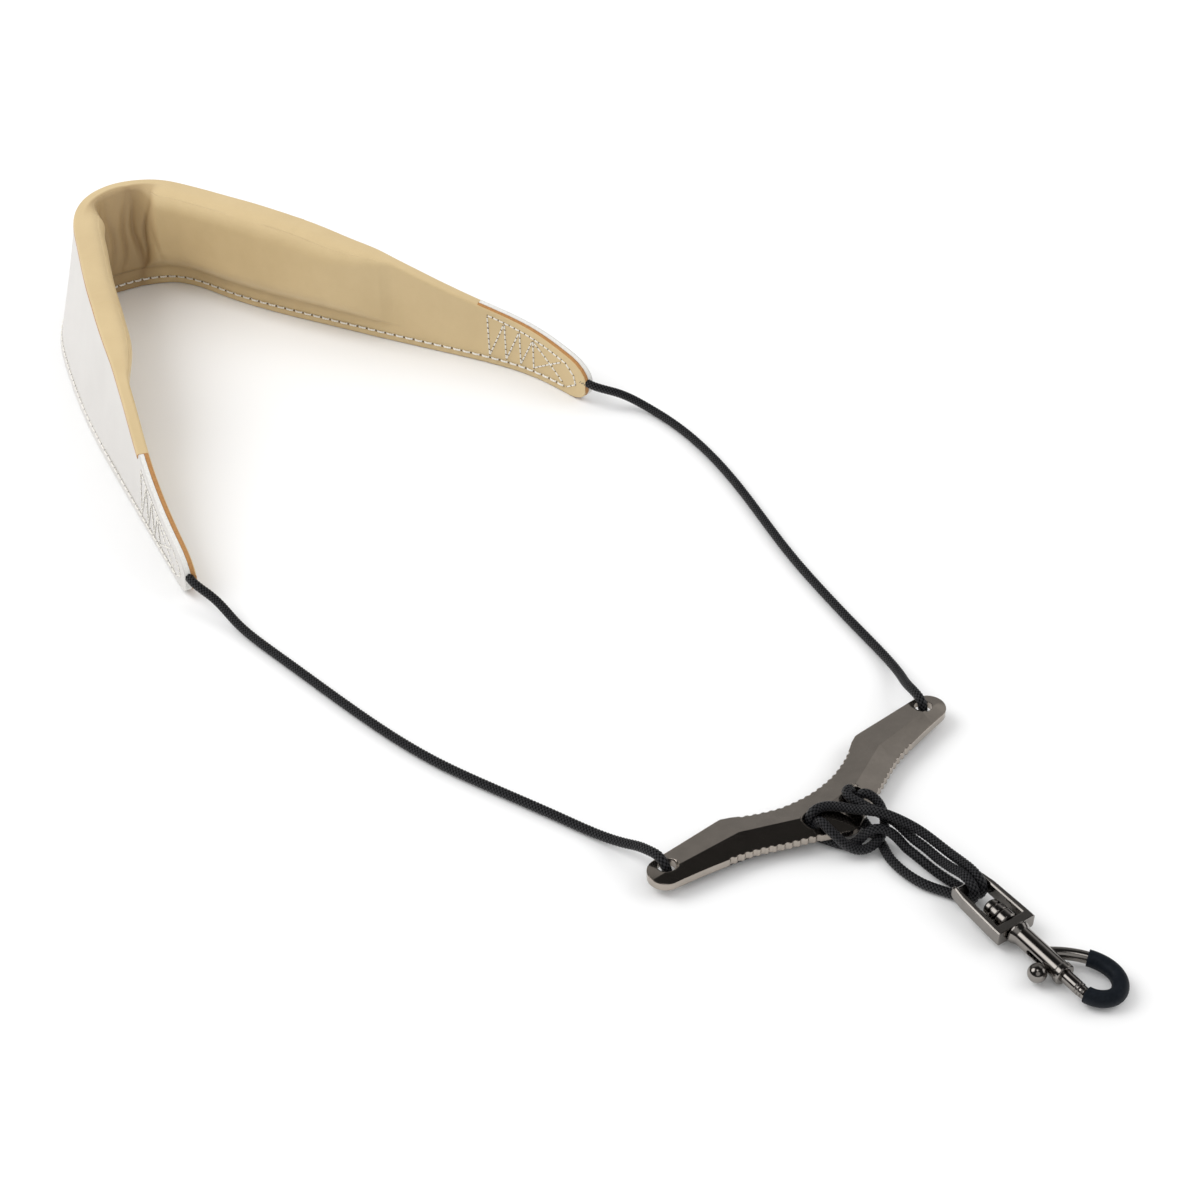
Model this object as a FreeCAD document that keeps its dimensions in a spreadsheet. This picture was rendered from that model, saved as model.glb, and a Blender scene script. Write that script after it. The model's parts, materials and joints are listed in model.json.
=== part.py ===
import FreeCAD, Part
import math
import os
import Sketcher

V = FreeCAD.Vector

# Saxophone neck strap lying flat. Row frame: X across, Y from the hook to the neck pad, Z up.
# The origin is on the axis of the hook's eye, in the plane the strap rests on.

SIZES = [
    # name, millimetres or degrees, what it is
    ("cord_dia", 3.0, "braided cord"),
    ("cord_rest", 1.63, "height of the middle of a cord lying on the rest plane"),
    ("split_gap", 0.05, "gap between two lengths of the cord"),
    ("ring_near", 0.5, "shortest length of cord between two rings"),
    ("ring_far", 6.0, "longest length of cord between two rings"),
    ("ring_bend", 0.22, "length of cord between rings times its curvature, as an angle"),
    ("bar_shift_x", -10.95, "middle of the bar's tip holes from the origin"),
    ("bar_shift_y", 116.0, "middle of the bar's tip holes from the origin"),
    ("outer_skin", 2.5, "outer leather"),
    ("inner_skin", 2.0, "inner leather"),
    ("glue_gap", 0.05, "glue line between the layers"),
    ("foam_thick", 8.0, "padding at its full thickness"),
    ("foam_start", 92.0, "where the padding starts, from a tab's tip"),
    ("foam_full", 122.0, "where the padding is full, from a tab's tip"),
    ("fold_flat", 12.0, "half length of the thin padding at the fold behind the neck"),
    ("fold_full", 27.0, "where the padding is full again, from the fold"),
    ("flange_tall", 8.0, "stitched flange under the padding"),
    ("pad_tall", 46.0, "pad at the back of the neck"),
    ("wrap_start", 54.0, "where the inner leather starts to cover the top edge"),
    ("tab_tip_tall", 5.0, "end of a tab's rounded tip"),
    ("tuck_in", 34.0, "cord sewn inside a tab"),
    ("channel_gap", 0.05, "room round the sewn-in cord"),
    ("tab_cord_up", 9.0, "height of the cord where it leaves a tab"),
    ("tab_cord_in", 2.35, "sewn-in cord from the tab's outer face"),
    ("swing_line_y", 213.2, "line through both cord exits, from the bar's tip holes"),
    ("thread_dia", 0.7, "sewing thread"),
    ("stitch_long", 3.1, "visible length of a stitch"),
    ("stitch_pitch", 4.2, "stitch spacing"),
    ("stitch_up", 3.0, "edge row above the pad's bottom edge"),
    ("bar_under", 3.5, "underside of the bar above the rest plane"),
    ("bar_edge", 2.5, "bar's thickness at its edges"),
    ("bar_ridge", 5.0, "bar's thickness at its ridge"),
    ("tip_hole_dia", 6.0, "hole for the cord at each tip"),
    ("tip_hole_x", 58.0, "tip hole from the middle"),
    ("mid_hole_dia", 6.5, "hole for two passes of the cord"),
    ("mid_hole_x", 9.3, "middle hole from the middle"),
    ("mid_hole_y", -16.0, "middle hole from the line of the tip holes"),
    ("rim_round", 0.8, "rounding of a hole's rim"),
    ("notch_pitch", 2.7, "notches along the bar's edges"),
    ("notch_dia", 2.2, "round notch cutter"),
    ("pass_side", 1.57, "each pass of the cord from its hole's middle"),
    ("hook_x", 8.8, "middle of the yoke's crossbar from the bar"),
    ("hook_y", -67.6, "middle of the yoke's crossbar from the bar"),
    ("hook_up", 5.35, "height of the yoke's crossbar"),
    ("hook_yaw", -5.16, "hook turned about Z"),
    ("hook_pitch", 2.0, "hook's end lower than its yoke"),
    ("crossbar_dia", 3.2, "yoke's crossbar"),
    ("yoke_tall", 5.2, "yoke's arms, across the hook's plane"),
    ("yoke_half_near", 6.2, "yoke's half width at the crossbar"),
    ("yoke_half_far", 7.4, "yoke's half width at its end plate"),
    ("arm_near", 1.7, "arm's thickness at the crossbar"),
    ("arm_far", 2.4, "arm's thickness at the end plate"),
    ("yoke_lead", 2.2, "arms past the crossbar"),
    ("yoke_waist", 4.0, "where the arms' outer faces turn, from the crossbar"),
    ("plate_near", 18.8, "end plate's inner face from the crossbar"),
    ("plate_far", 21.8, "end plate's outer face from the crossbar"),
    ("post_dia", 3.2, "swivel post's shank"),
    ("post_head_dia", 6.8, "swivel post's head"),
    ("post_start", 9.4, "top of the post's head from the crossbar"),
    ("head_end", 14.8, "underside of the post's head"),
    ("head_groove", 11.6, "groove round the post's head"),
    ("post_end", 25.1, "end of the post inside the barrel"),
    ("run_gap", 0.12, "running clearance on a radius"),
    ("fix_gap", 0.02, "clearance of two fixed pieces"),
    ("washer_dia", 7.4, "spacer washer"),
    ("washer_start", 15.0, "washer's first face"),
    ("washer_end", 18.6, "washer's second face"),
    ("collar_dia", 8.2, "barrel's flared collar"),
    ("barrel_start", 22.0, "collar's face from the crossbar"),
    ("barrel_dia", 6.6, "barrel"),
    ("barrel_end", 43.9, "barrel's mouth from the crossbar"),
    ("end_ring_dia", 7.4, "ring round the barrel's mouth"),
    ("bolt_dia", 4.4, "gate bolt"),
    ("bolt_start", 36.3, "gate bolt's inner end"),
    ("bolt_end", 50.9, "gate bolt's tip"),
    ("spring_start", 26.0, "blind end of the barrel's bore"),
    ("spring_wire", 0.4, "bolt spring's wire"),
    ("spring_mid_dia", 3.6, "bolt spring's mean diameter"),
    ("knob_at", 38.3, "thumb knob from the crossbar"),
    ("knob_out", 6.4, "middle of the thumb knob from the barrel's axis"),
    ("knob_dia", 6.2, "thumb knob"),
    ("stem_dia", 1.8, "thumb knob's stem"),
    ("bolt_travel", 7.2, "gate bolt's travel"),
    ("arm_dia", 4.0, "hook's arm"),
    ("tip_start", 51.05, "hook's tip from the crossbar"),
    ("sleeve_dia", 5.4, "rubber sleeve"),
]

doc = FreeCAD.newDocument("neck_strap")
sheet = doc.addObject("Spreadsheet::Sheet", "Sizes")
for line, (name, number, what) in enumerate(SIZES, start=1):
    sheet.set("A%d" % line, name)
    sheet.set("B%d" % line, str(number))
    sheet.set("C%d" % line, what)
    sheet.setAlias("B%d" % line, name)
doc.recompute()


def size(name):
    return float(sheet.get(name))


class Length:
    """A length with its number and the sheet expression that gives it."""

    def __init__(self, number, text):
        self.number = number
        self.text = text

    def __add__(self, other):
        other = length(other)
        return Length(self.number + other.number, "(%s + %s)" % (self.text, other.text))

    def __sub__(self, other):
        other = length(other)
        return Length(self.number - other.number, "(%s - %s)" % (self.text, other.text))

    def __truediv__(self, divisor):
        return Length(self.number / divisor, "(%s / %s)" % (self.text, divisor))

    def __neg__(self):
        return Length(-self.number, "(0 - %s)" % self.text)


def length(value):
    if isinstance(value, Length):
        return value
    if isinstance(value, str):
        return Length(size(value), "Sizes.%s" % value)
    return Length(float(value), "%g" % value)


# ---------------------------------------------------------------- placements

bar_base = V(size("bar_shift_x"), size("bar_shift_y"), 0)
bar_place = FreeCAD.Placement(bar_base, FreeCAD.Rotation())
hook_turn = FreeCAD.Rotation(V(0, 0, 1), size("hook_yaw"))
hook_turn = hook_turn.multiply(FreeCAD.Rotation(V(1, 0, 0), size("hook_pitch")))
hook_base = bar_base + V(size("hook_x"), size("hook_y"), size("hook_up"))
hook_place = FreeCAD.Placement(hook_base, hook_turn)

sub_parts = []


def add_shape(label, shape, place):
    """A sub-part whose shape is computed from the sheet."""
    part = doc.addObject("Part::Feature", label)
    part.Label = label
    part.Shape = shape
    part.Placement = place.multiply(shape.Placement)
    sub_parts.append(part)
    return part


def new_body(label):
    body = doc.addObject("PartDesign::Body", label)
    body.Label = label
    body.Placement = hook_place
    sub_parts.append(body)
    return body


# ---------------------------------------------------------------- general helpers

def plane_of(body, role):
    return [f for f in body.Origin.OriginFeatures if f.Role == role][0]


def new_sketch(body, name, role):
    sketch = body.newObject("Sketcher::SketchObject", name)
    sketch.AttachmentSupport = [(plane_of(body, role), "")]
    sketch.MapMode = "FlatFace"
    return sketch


def tie(sketch, kind, geometry, point, value):
    """Hold one coordinate of a sketch point to a sheet expression."""
    if value.number == 0:
        axis = -2 if kind == "DistanceX" else -1
        sketch.addConstraint(Sketcher.Constraint("PointOnObject", geometry, point, axis))
        return
    at = sketch.addConstraint(Sketcher.Constraint(kind, geometry, point, value.number))
    sketch.setExpression("Constraints[%d]" % at, value.text)


def closed_outline(body, name, role, corners):
    """A sketch of straight lines through corners, each bound to the sheet."""
    sketch = new_sketch(body, name, role)
    corners = [(length(x), length(y)) for x, y in corners]
    count = len(corners)
    for i in range(count):
        x0, y0 = corners[i]
        x1, y1 = corners[(i + 1) % count]
        line = Part.LineSegment(V(x0.number, y0.number, 0), V(x1.number, y1.number, 0))
        sketch.addGeometry(line, False)
    for i in range(count):
        sketch.addConstraint(Sketcher.Constraint("Coincident", i, 2, (i + 1) % count, 1))
    for i, (x, y) in enumerate(corners):
        tie(sketch, "DistanceX", i, 1, x)
        tie(sketch, "DistanceY", i, 1, y)
    return sketch


def circle_sketch(body, name, role, diameter):
    sketch = new_sketch(body, name, role)
    diameter = length(diameter)
    sketch.addGeometry(Part.Circle(V(0, 0, 0), V(0, 0, 1), diameter.number / 2), False)
    sketch.addConstraint(Sketcher.Constraint("Coincident", 0, 3, -1, 1))
    at = sketch.addConstraint(Sketcher.Constraint("Diameter", 0, diameter.number))
    sketch.setExpression("Constraints[%d]" % at, diameter.text)
    return sketch


def turned(label, profile):
    """A body turned about the hook's long axis from (radius, distance) corners."""
    body = new_body(label)
    sketch = closed_outline(body, label + "_profile", "XY_Plane", profile)
    turn = body.newObject("PartDesign::Revolution", label + "_turn")
    turn.Profile = sketch
    turn.ReferenceAxis = (sketch, ["V_Axis"])
    turn.Angle = 360
    body.Tip = turn
    return body


def spline(points):
    curve = Part.BSplineCurve()
    curve.interpolate([V(*p) for p in points])
    return curve


def ring_places(edge):
    """Parameters along an edge, closer together where it bends tightly."""
    whole = edge.Length
    at = 0
    places = [0]
    while at < whole:
        bend = max(edge.curvatureAt(edge.getParameterByLength(at)), 1e-6)
        at += min(size("ring_far"), max(size("ring_near"), size("ring_bend") / bend))
        places.append(min(at, whole))
    if places[-1] - places[-2] < size("ring_near") / 2:
        del places[-2]
    return [edge.getParameterByLength(place) for place in places]


def swept(edge, radius):
    """A round bar swept along a gentle edge."""
    start = edge.FirstParameter
    ring = Part.Circle(edge.valueAt(start), edge.tangentAt(start), radius)
    ring = Part.Wire([ring.toShape()])
    shape = Part.Wire([edge]).makePipeShell([ring], True, True)
    if shape.Volume < 0:
        shape.reverse()
    return shape


def ringed(edge, radius):
    """A round bar along a twisting edge, as short straight-sided lengths between rings."""
    rings = []
    for place in ring_places(edge):
        ring = Part.Circle(edge.valueAt(place), edge.tangentAt(place), radius)
        rings.append(Part.Wire([ring.toShape()]))
    shape = Part.makeLoft(rings, True, True)
    if shape.Volume < 0:
        shape.reverse()
    return shape


def drill(x, y, radius, z_from, z_to):
    return Part.makeCylinder(radius, z_to - z_from, V(x, y, z_from))


def mix(a, b, share):
    return a + (b - a) * share


def table(pairs, where):
    """Straight-line reading of (distance, value) pairs."""
    if where <= pairs[0][0]:
        return pairs[0][1]
    for (d0, v0), (d1, v1) in zip(pairs, pairs[1:]):
        if where <= d1:
            return mix(v0, v1, (where - d0) / (d1 - d0))
    return pairs[-1][1]


# ---------------------------------------------------------------- neck pad

# Plan of the outer leather's bottom and top edges, from the left tab's tip over the
# back of the neck to the right tab's tip, in the bar's frame.
BOTTOM_EDGE = [
    (-95.4, 216.5), (-90.8, 235), (-83.5, 264), (-75, 298), (-63.5, 338), (-52, 369),
    (-40, 393), (-26, 406), (-8, 409.5), (8, 406.5), (22, 398), (32, 374), (44.5, 344),
    (58, 317), (71, 292), (83, 269), (91.5, 248), (96.0, 216.5),
]
TOP_EDGE = [
    (-95.4, 216.5), (-90.6, 235), (-80.5, 262), (-69.5, 287), (-57.5, 321), (-43.5, 357),
    (-30, 386), (-19, 404.5), (-8, 411.5), (8, 411.5), (19, 404.5), (30, 386), (43, 357),
    (57, 322), (70, 289), (82, 264), (91, 245), (96.0, 216.5),
]
PAD_STATIONS = 72

# Height of the top and the bottom of the pad against distance from a tab's tip.
ROUND_TIP = [(0, 1.0), (1, 0.62), (3, 0.3), (6, 0.08), (9, 0)]
TOP_LINE = [(0, 15.5), (9, 17.5), (28, 22), (50, 27), (70, 32), (100, 40), (135, 44)]


def pad_top(tip_distance, half_length):
    top = table(TOP_LINE, tip_distance)
    if tip_distance > 135:
        share = (tip_distance - 135) / (half_length - 135)
        top = mix(44, size("pad_tall"), math.sin(share * math.pi / 2))
    squeeze = (table(TOP_LINE, 0) - size("tab_tip_tall")) / 2
    return top - squeeze * table(ROUND_TIP, tip_distance)


def pad_bottom(tip_distance):
    squeeze = (table(TOP_LINE, 0) - size("tab_tip_tall")) / 2
    return squeeze * table(ROUND_TIP, tip_distance)


def foam_at(tip_distance, half_length):
    """Padding's thickness: none on the tabs, and pinched where the pad folds at the neck."""
    share = (tip_distance - size("foam_start")) / (size("foam_full") - size("foam_start"))
    share = min(max(share, 0), 1)
    from_fold = half_length - tip_distance
    spread = (from_fold - size("fold_flat")) / (size("fold_full") - size("fold_flat"))
    spread = min(max(spread, 0), 1)
    loft = min(math.sin(share * math.pi / 2), spread * spread * (3 - 2 * spread))
    return size("foam_thick") * (0.1 + 0.9 * loft) if share else 0


class Station:
    """One upright slice of the pad: u runs inward from the outer face, z up."""

    def __init__(self, low, high, along, tip_distance, half_length):
        self.low = low
        self.high = high
        self.inward = V(along.y, -along.x, 0)
        self.tip_distance = tip_distance
        self.z_low = pad_bottom(tip_distance)
        self.z_high = pad_top(tip_distance, half_length)
        self.foam = foam_at(tip_distance, half_length)

    def at(self, u, z):
        spot = mix(self.low, self.high, z / size("pad_tall")) + self.inward * u
        return V(spot.x, spot.y, z)

    def ring(self, corners):
        points = [self.at(u, z) for u, z in corners]
        return Part.makePolygon(points + [points[0]])


def even_distances(count, total):
    """Station distances: close at the rounded tips and at the wrap's ends, even elsewhere."""
    near = [0, 1, 3, 6, 9] + [size("wrap_start") + step for step in (0, 0.3, 0.6)]
    fixed = near + [total - d for d in near]
    inner = total - 18
    even = [9 + inner * i / count for i in range(1, count)]
    clear = [d for d in even if all(abs(d - f) > 1.5 for f in fixed)]
    return sorted(fixed + clear)


def pad_stations():
    low = spline([(x, y, 0) for x, y in BOTTOM_EDGE])
    high = spline([(x, y, 0) for x, y in TOP_EDGE])
    low_long = low.length()
    stations = []
    for distance in even_distances(PAD_STATIONS, low_long):
        share = distance / low_long
        p = low.value(low.parameterAtDistance(distance))
        reach = high.parameterAtDistance(share * high.length())
        q = high.value(reach)
        along = high.tangent(reach)[0]
        tip_distance = min(distance, low_long - distance)
        stations.append(Station(p, q, along, tip_distance, low_long / 2))
    return stations


def outer_ring(s):
    """The outer leather stops lower where the inner leather covers its top edge."""
    skin = size("outer_skin")
    covered = s.tip_distance > size("wrap_start") + 0.15
    top = s.z_high - (size("inner_skin") + size("glue_gap") if covered else 0)
    return s.ring([(0, s.z_low), (skin, s.z_low), (skin, top), (0, top)])


def flange_top(s):
    return s.z_low + min(size("flange_tall"), 0.35 * (s.z_high - s.z_low))


def inner_ring(s):
    """Outside of the inner leather, with the padding still inside it."""
    skin = size("inner_skin")
    near = size("outer_skin") + size("glue_gap")
    far = near + skin + s.foam
    bevel = 0.45 * s.foam + 0.4 * skin
    fold = flange_top(s)
    covers = s.tip_distance > size("wrap_start") + 0.45
    edge = 0 if covers else near
    lip = s.z_high - (skin if covers else 0.5 * skin)
    return s.ring([
        (near, s.z_low), (near + skin, s.z_low), (near + skin, fold),
        (far, fold + 0.3 + 0.9 * s.foam), (far, s.z_high - bevel),
        (far - bevel, s.z_high), (edge, s.z_high), (edge, lip),
        (near, s.z_high - skin - (0 if covers else 0.2)),
    ])


def foam_ring(s, inset, open_by=0):
    """The padding's slice, or with no inset the hollow it fills, open to the outer leather."""
    skin = size("inner_skin")
    near = size("outer_skin") + size("glue_gap") + inset
    far = near + s.foam - 2 * inset
    bevel = 0.45 * (far - near)
    top = s.z_high - skin - inset
    fold = flange_top(s) + 6 * inset
    rise = 0.3 + 0.9 * s.foam + 0.5 * skin
    slope = rise / (far - near)
    return s.ring([
        (near - open_by, fold + 0.5 * skin - open_by * slope),
        (far, fold + 0.5 * skin + rise),
        (far, top - bevel), (far - bevel, top), (near - open_by, top),
    ])


def ruled(rings):
    shape = Part.makeLoft(rings, True, True)
    if shape.Volume < 0:
        shape.reverse()
    return shape


stations = pad_stations()
padded = [s for s in stations if s.foam > 0]


def tab_line(side, depth):
    """Middle of the sewn-in cord at a depth from the tab's tip."""
    ordered = stations if side < 0 else stations[::-1]
    for s0, s1 in zip(ordered, ordered[1:]):
        if s1.tip_distance >= depth:
            share = (depth - s0.tip_distance) / (s1.tip_distance - s0.tip_distance)
            p0 = s0.at(size("tab_cord_in"), size("tab_cord_up"))
            p1 = s1.at(size("tab_cord_in"), size("tab_cord_up"))
            return mix(p0, p1, share)
    raise ValueError("depth is past the pad")


def swing_point(side):
    """Where the cord leaves the tab, on the line both cords swing about."""
    tip = tab_line(side, 0)
    direction = tip - tab_line(side, 11)
    reach = (size("swing_line_y") - tip.y) / direction.y
    spot = tip + direction * reach
    return V(spot.x, size("swing_line_y"), size("tab_cord_up"))


def tuck_curve(side):
    """Line of the cord from deep inside the tab to the swing line."""
    depths = [size("tuck_in") + 1, 0.6 * size("tuck_in"), 0.25 * size("tuck_in")]
    points = [tab_line(side, depth) for depth in depths] + [swing_point(side)]
    return spline([tuple(p) for p in points])


def between(curve, start, end):
    """Edge of a curve between two lengths from its start."""
    return curve.toShape(curve.parameterAtDistance(start), curve.parameterAtDistance(end))


def make_pad():
    outer = ruled([outer_ring(s) for s in stations])
    inner = ruled([inner_ring(s) for s in stations])
    hollow = ruled([foam_ring(s, 0, 0.5) for s in padded])
    foam = ruled([foam_ring(s, 2 * size("glue_gap")) for s in padded])
    inner = inner.cut(hollow)
    for side in (-1, 1):
        radius = size("cord_dia") / 2 + size("channel_gap")
        channel = swept(tuck_curve(side).toShape(), radius)
        outer = outer.cut(channel)
        inner = inner.cut(channel)
    add_shape("outer_leather", outer.Solids[0], bar_place)
    add_shape("inner_leather", inner.Solids[0], bar_place)
    add_shape("foam_core", foam, bar_place)


# ---------------------------------------------------------------- stitching

def stitch(start, end):
    """One stitch: a short round thread between two points."""
    along = end - start
    return Part.makeCylinder(size("thread_dia") / 2, along.Length, start, along)


def station_at(distance):
    """The slice of the pad at a distance from the left tab's tip."""
    low = spline([(x, y, 0) for x, y in BOTTOM_EDGE])
    high = spline([(x, y, 0) for x, y in TOP_EDGE])
    total = low.length()
    p = low.value(low.parameterAtDistance(distance))
    reach = high.parameterAtDistance(distance / total * high.length())
    tip_distance = min(distance, total - distance)
    return Station(p, high.value(reach), high.tangent(reach)[0], tip_distance, total / 2)


def face_depth(outside):
    """Middle of a thread lying on one face of the two sewn skins."""
    lift = size("thread_dia") / 2 + 0.2
    if outside:
        return -lift
    return size("outer_skin") + size("glue_gap") + size("inner_skin") + lift


def stitch_row(spots, outside):
    """Stitches between neighbouring (distance, height) spots on one face."""
    depth = face_depth(outside)
    row = []
    for (d0, z0), (d1, z1) in zip(spots, spots[1:]):
        a = station_at(d0).at(depth, z0)
        b = station_at(d1).at(depth, z1)
        inset = (b - a) * ((1 - size("stitch_long") / size("stitch_pitch")) / 2)
        row.append(stitch(a + inset, b - inset))
    return row


def spaced(start, end):
    """Even (distance, height) spots about one stitch apart."""
    run = math.dist(start, end)
    count = max(1, round(run / size("stitch_pitch")))
    return [
        (mix(start[0], end[0], i / count), mix(start[1], end[1], i / count))
        for i in range(count + 1)
    ]


def tab_pattern(flip):
    """Stitch lines of one tab: a row along its top, uprights joined by slants, and a cross."""
    lines = [((50, 24.0), (11, 14.4)), ((11, 14.4), (6.6, 10.6)), ((50, 4.4), (50, 23.0))]
    uprights = [(50, 24.0), (42.5, 21.6), (35.5, 19.8), (28.8, 18.0)]
    for (foot, start), (top, peak) in zip(uprights, uprights[1:]):
        lines.append(((foot, 4.4), (top + 0.6, peak - 1.0)))
        lines.append(((top, 4.4), (top, peak - 0.4)))
    lines += [((28.4, 17.0), (13, 4.8)), ((28.4, 5.0), (14, 13.4))]
    return [[(flip(d), z) for d, z in spaced(a, b)] for a, b in lines]


def free_stitches(stitches):
    """Leave out a stitch that would touch one already laid."""
    kept = []
    for piece in stitches:
        box = piece.BoundBox
        near = [other for other in kept if box.intersect(other.BoundBox)]
        if all(piece.distToShape(other)[0] > 0.05 for other in near):
            kept.append(piece)
    return kept


def make_stitching():
    total = spline([(x, y, 0) for x, y in BOTTOM_EDGE]).length()
    count = round((total - 24) / size("stitch_pitch"))
    spots = [(12 + (total - 24) * i / count, size("stitch_up")) for i in range(count + 1)]
    rows = stitch_row(spots, True) + stitch_row(spots, False)
    add_shape("edge_stitching", Part.makeCompound(rows), bar_place)
    for name, flip in (("left", lambda d: d), ("right", lambda d: total - d)):
        pieces = []
        for outside in (True, False):
            face = []
            for line in tab_pattern(flip):
                face += stitch_row(line, outside)
            pieces += free_stitches(face)
        shape = Part.makeCompound(pieces)
        add_shape("tab_stitching_" + name, shape, bar_place)


# ---------------------------------------------------------------- cords

# Middle line of the one cord in the bar's frame, from the left tab to the right one.
# Every height is the middle of the cord. Each stretch starts where the last one ends.
LEFT_NECK = [
    (-91.6, 205, 6.2), (-90.9, 192, 2.8), (-90.2, 178, 1.7), (-89.1, 164, 1.64), (-85.9, 123.8, 1.62),
    (-80.4, 88.4, 1.62), (-75.8, 72.2, 1.62), (-66.2, 42, 1.62), (-61.9, 27, 2.2),
    (-59.6, 17.5, 4.4), (-58.7, 12.2, 6.4),
]
LEFT_FRONT = [
    (-8.4, -14.6, 9.5), (-5.6, -15.0, 10.2), (-1.4, -17.6, 10.1), (2.4, -23, 10.3),
    (6.4, -29.6, 11.4), (10.2, -36.4, 10.2), (12.3, -41.0, 8.8),
]
LEFT_LOOP = [
    (13.4, -46.5, 7.7), (13.6, -54.2, 7.2), (12.7, -62, 8.4), (11.75, -67.6, 8.7),
    (11.35, -70.2, 7.5), (11.1, -71.05, 5.3), (10.8, -70.1, 2.85), (10.2, -67.4, 1.9),
    (9.2, -61, 1.64), (8.2, -53.6, 2.2), (7.9, -45, 3.0), (7.7, -41.0, 3.6),
]
KNOT_IN = [
    (7.2, -38.0, 5.3), (5.4, -34.8, 7.6), (3.0, -32.4, 8.2), (-0.2, -30.4, 6.2),
    (-2.6, -29.0, 3.2), (-4.4, -26.9, 1.7), (-7.6, -21.2, 1.62), (-9.05, -18.1, 2.3),
]
KNOT_FRONT = [
    (-9.4, -18.9, 9.3), (-9.4, -22.6, 9.2), (-8.6, -26.6, 7.3), (-6.4, -30.4, 4.4),
    (-2.6, -33.0, 3.1), (1.8, -33.8, 4.2), (5.9, -32.5, 4.95), (9.9, -29.4, 5.1),
    (12.0, -25.6, 7.0), (11.8, -21.6, 9.1), (10.4, -18.8, 9.3),
]
KNOT_OUT = [
    (9.0, -18.3, 2.4), (7.9, -21.4, 1.62), (5.9, -28, 1.64), (4.7, -33.2, 1.62),
    (2.6, -38.0, 1.62), (1.6, -41.0, 1.62),
]
RIGHT_LOOP = [
    (1.1, -44, 1.62), (1.0, -50.2, 1.62), (2.4, -57, 1.62), (4.6, -62, 1.64),
    (6.4, -67.3, 1.8), (7.0, -70.2, 2.8), (7.4, -71.1, 5.3), (7.7, -70.3, 7.5),
    (8.2, -67.6, 8.7), (9.4, -60, 7.2), (10.5, -52, 5.4), (11.2, -45, 5.0),
    (11.2, -41.0, 5.0),
]
RIGHT_FRONT = [
    (11.0, -37, 6.0), (9.9, -32.6, 8.0), (8.2, -28, 8.9), (6.3, -23, 9.8),
    (5.2, -18.2, 10.2), (6.1, -15.4, 10.2), (8.2, -14.5, 9.5),
]
RIGHT_NECK = [
    (62.4, 12.2, 6.4), (65.4, 17.4, 4.6), (70.6, 30, 2.2), (75.2, 50, 1.62),
    (80, 71.7, 1.62), (85.1, 91.6, 1.62), (91.3, 111.3, 1.62), (99.2, 135.5, 1.62),
    (106.0, 164, 1.62), (107.8, 186, 1.62), (106.6, 196, 2.4), (100.4, 206.5, 6.4),
]


def behind_bar(side, lead):
    """From the front of a tip hole, behind the bar, to the front of a middle hole."""
    tip = size("tip_hole_x") * side
    hole = size("mid_hole_x") * side
    pass_y = size("mid_hole_y") + size("pass_side")
    low = size("cord_rest")
    down = [(tip + 0.4 * side, 1.2, 7.6), (tip, 0.0, 5.2), (tip - 0.6 * side, -0.6, 2.9)]
    run = [
        (mix(tip, hole, share), mix(-2.6, pass_y, share), low)
        for share in (0.12, 0.3, 0.5, 0.7, 0.88)
    ]
    rise = [(hole + 0.35 * side, pass_y, 2.6), (hole, pass_y, 4.6), (hole, pass_y, 7.0)]
    return lead + down + run + rise


def second_pass(side):
    """The knot's own pass through a middle hole, from back to front."""
    x = size("mid_hole_x") * side
    y = size("mid_hole_y") - size("pass_side")
    return [(x, y, 4.4), (x, y - 0.1, 7.0)]


def cord_course():
    """The whole cord as named stretches in order."""
    left_behind = behind_bar(-1, [(-58.5, 7.2, 8.0), (-58.3, 3.6, 8.4)])
    right_behind = behind_bar(1, [(60.2, 7.2, 8.0), (59.0, 3.6, 8.4)])
    knot = KNOT_IN + second_pass(-1) + KNOT_FRONT + second_pass(1)[::-1] + KNOT_OUT
    return [
        ("neck_cord_left", [tuple(swing_point(-1))] + LEFT_NECK),
        ("bar_cord_left", left_behind + LEFT_FRONT),
        ("hook_loop_left", LEFT_LOOP),
        ("knot_cord", knot),
        ("hook_loop_right", RIGHT_LOOP),
        ("bar_cord_right", RIGHT_FRONT + right_behind[::-1] + RIGHT_NECK[:1]),
        ("neck_cord_right", RIGHT_NECK[1:] + [tuple(swing_point(1))]),
    ]


def make_cords():
    radius = size("cord_dia") / 2
    gap = size("split_gap")
    for side, name in ((-1, "left"), (1, "right")):
        line = tuck_curve(side)
        edge = between(line, 1, line.length() - radius - gap)
        add_shape("cord_end_" + name, swept(edge, radius), bar_place)

    course = cord_course()
    whole = spline([p for name, points in course for p in points])
    start = 0
    for name, points in course:
        end = whole.length(whole.FirstParameter, whole.parameter(V(*points[-1])))
        first = start + gap / 2 if start else 0
        last = end if name == course[-1][0] else end - gap / 2
        edge = between(whole, first, last)
        if name.startswith("neck_cord"):
            side = -1 if name.endswith("left") else 1
            shape = swept(edge, radius).fuse(Part.makeSphere(radius, swing_point(side)))
        else:
            shape = ringed(edge, radius)
        add_shape(name, shape.Solids[0], bar_place)
        start = end


# ---------------------------------------------------------------- adjuster bar

# Half of the bar's lower edge from a tip to the nose.
LOWER_EDGE = [
    (60.6, -7.0), (51, -8.6), (41.5, -10.5), (31.6, -13.1), (22.8, -16.9), (14.5, -20.2),
    (6.5, -24.0), (0, -26.6),
]
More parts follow.
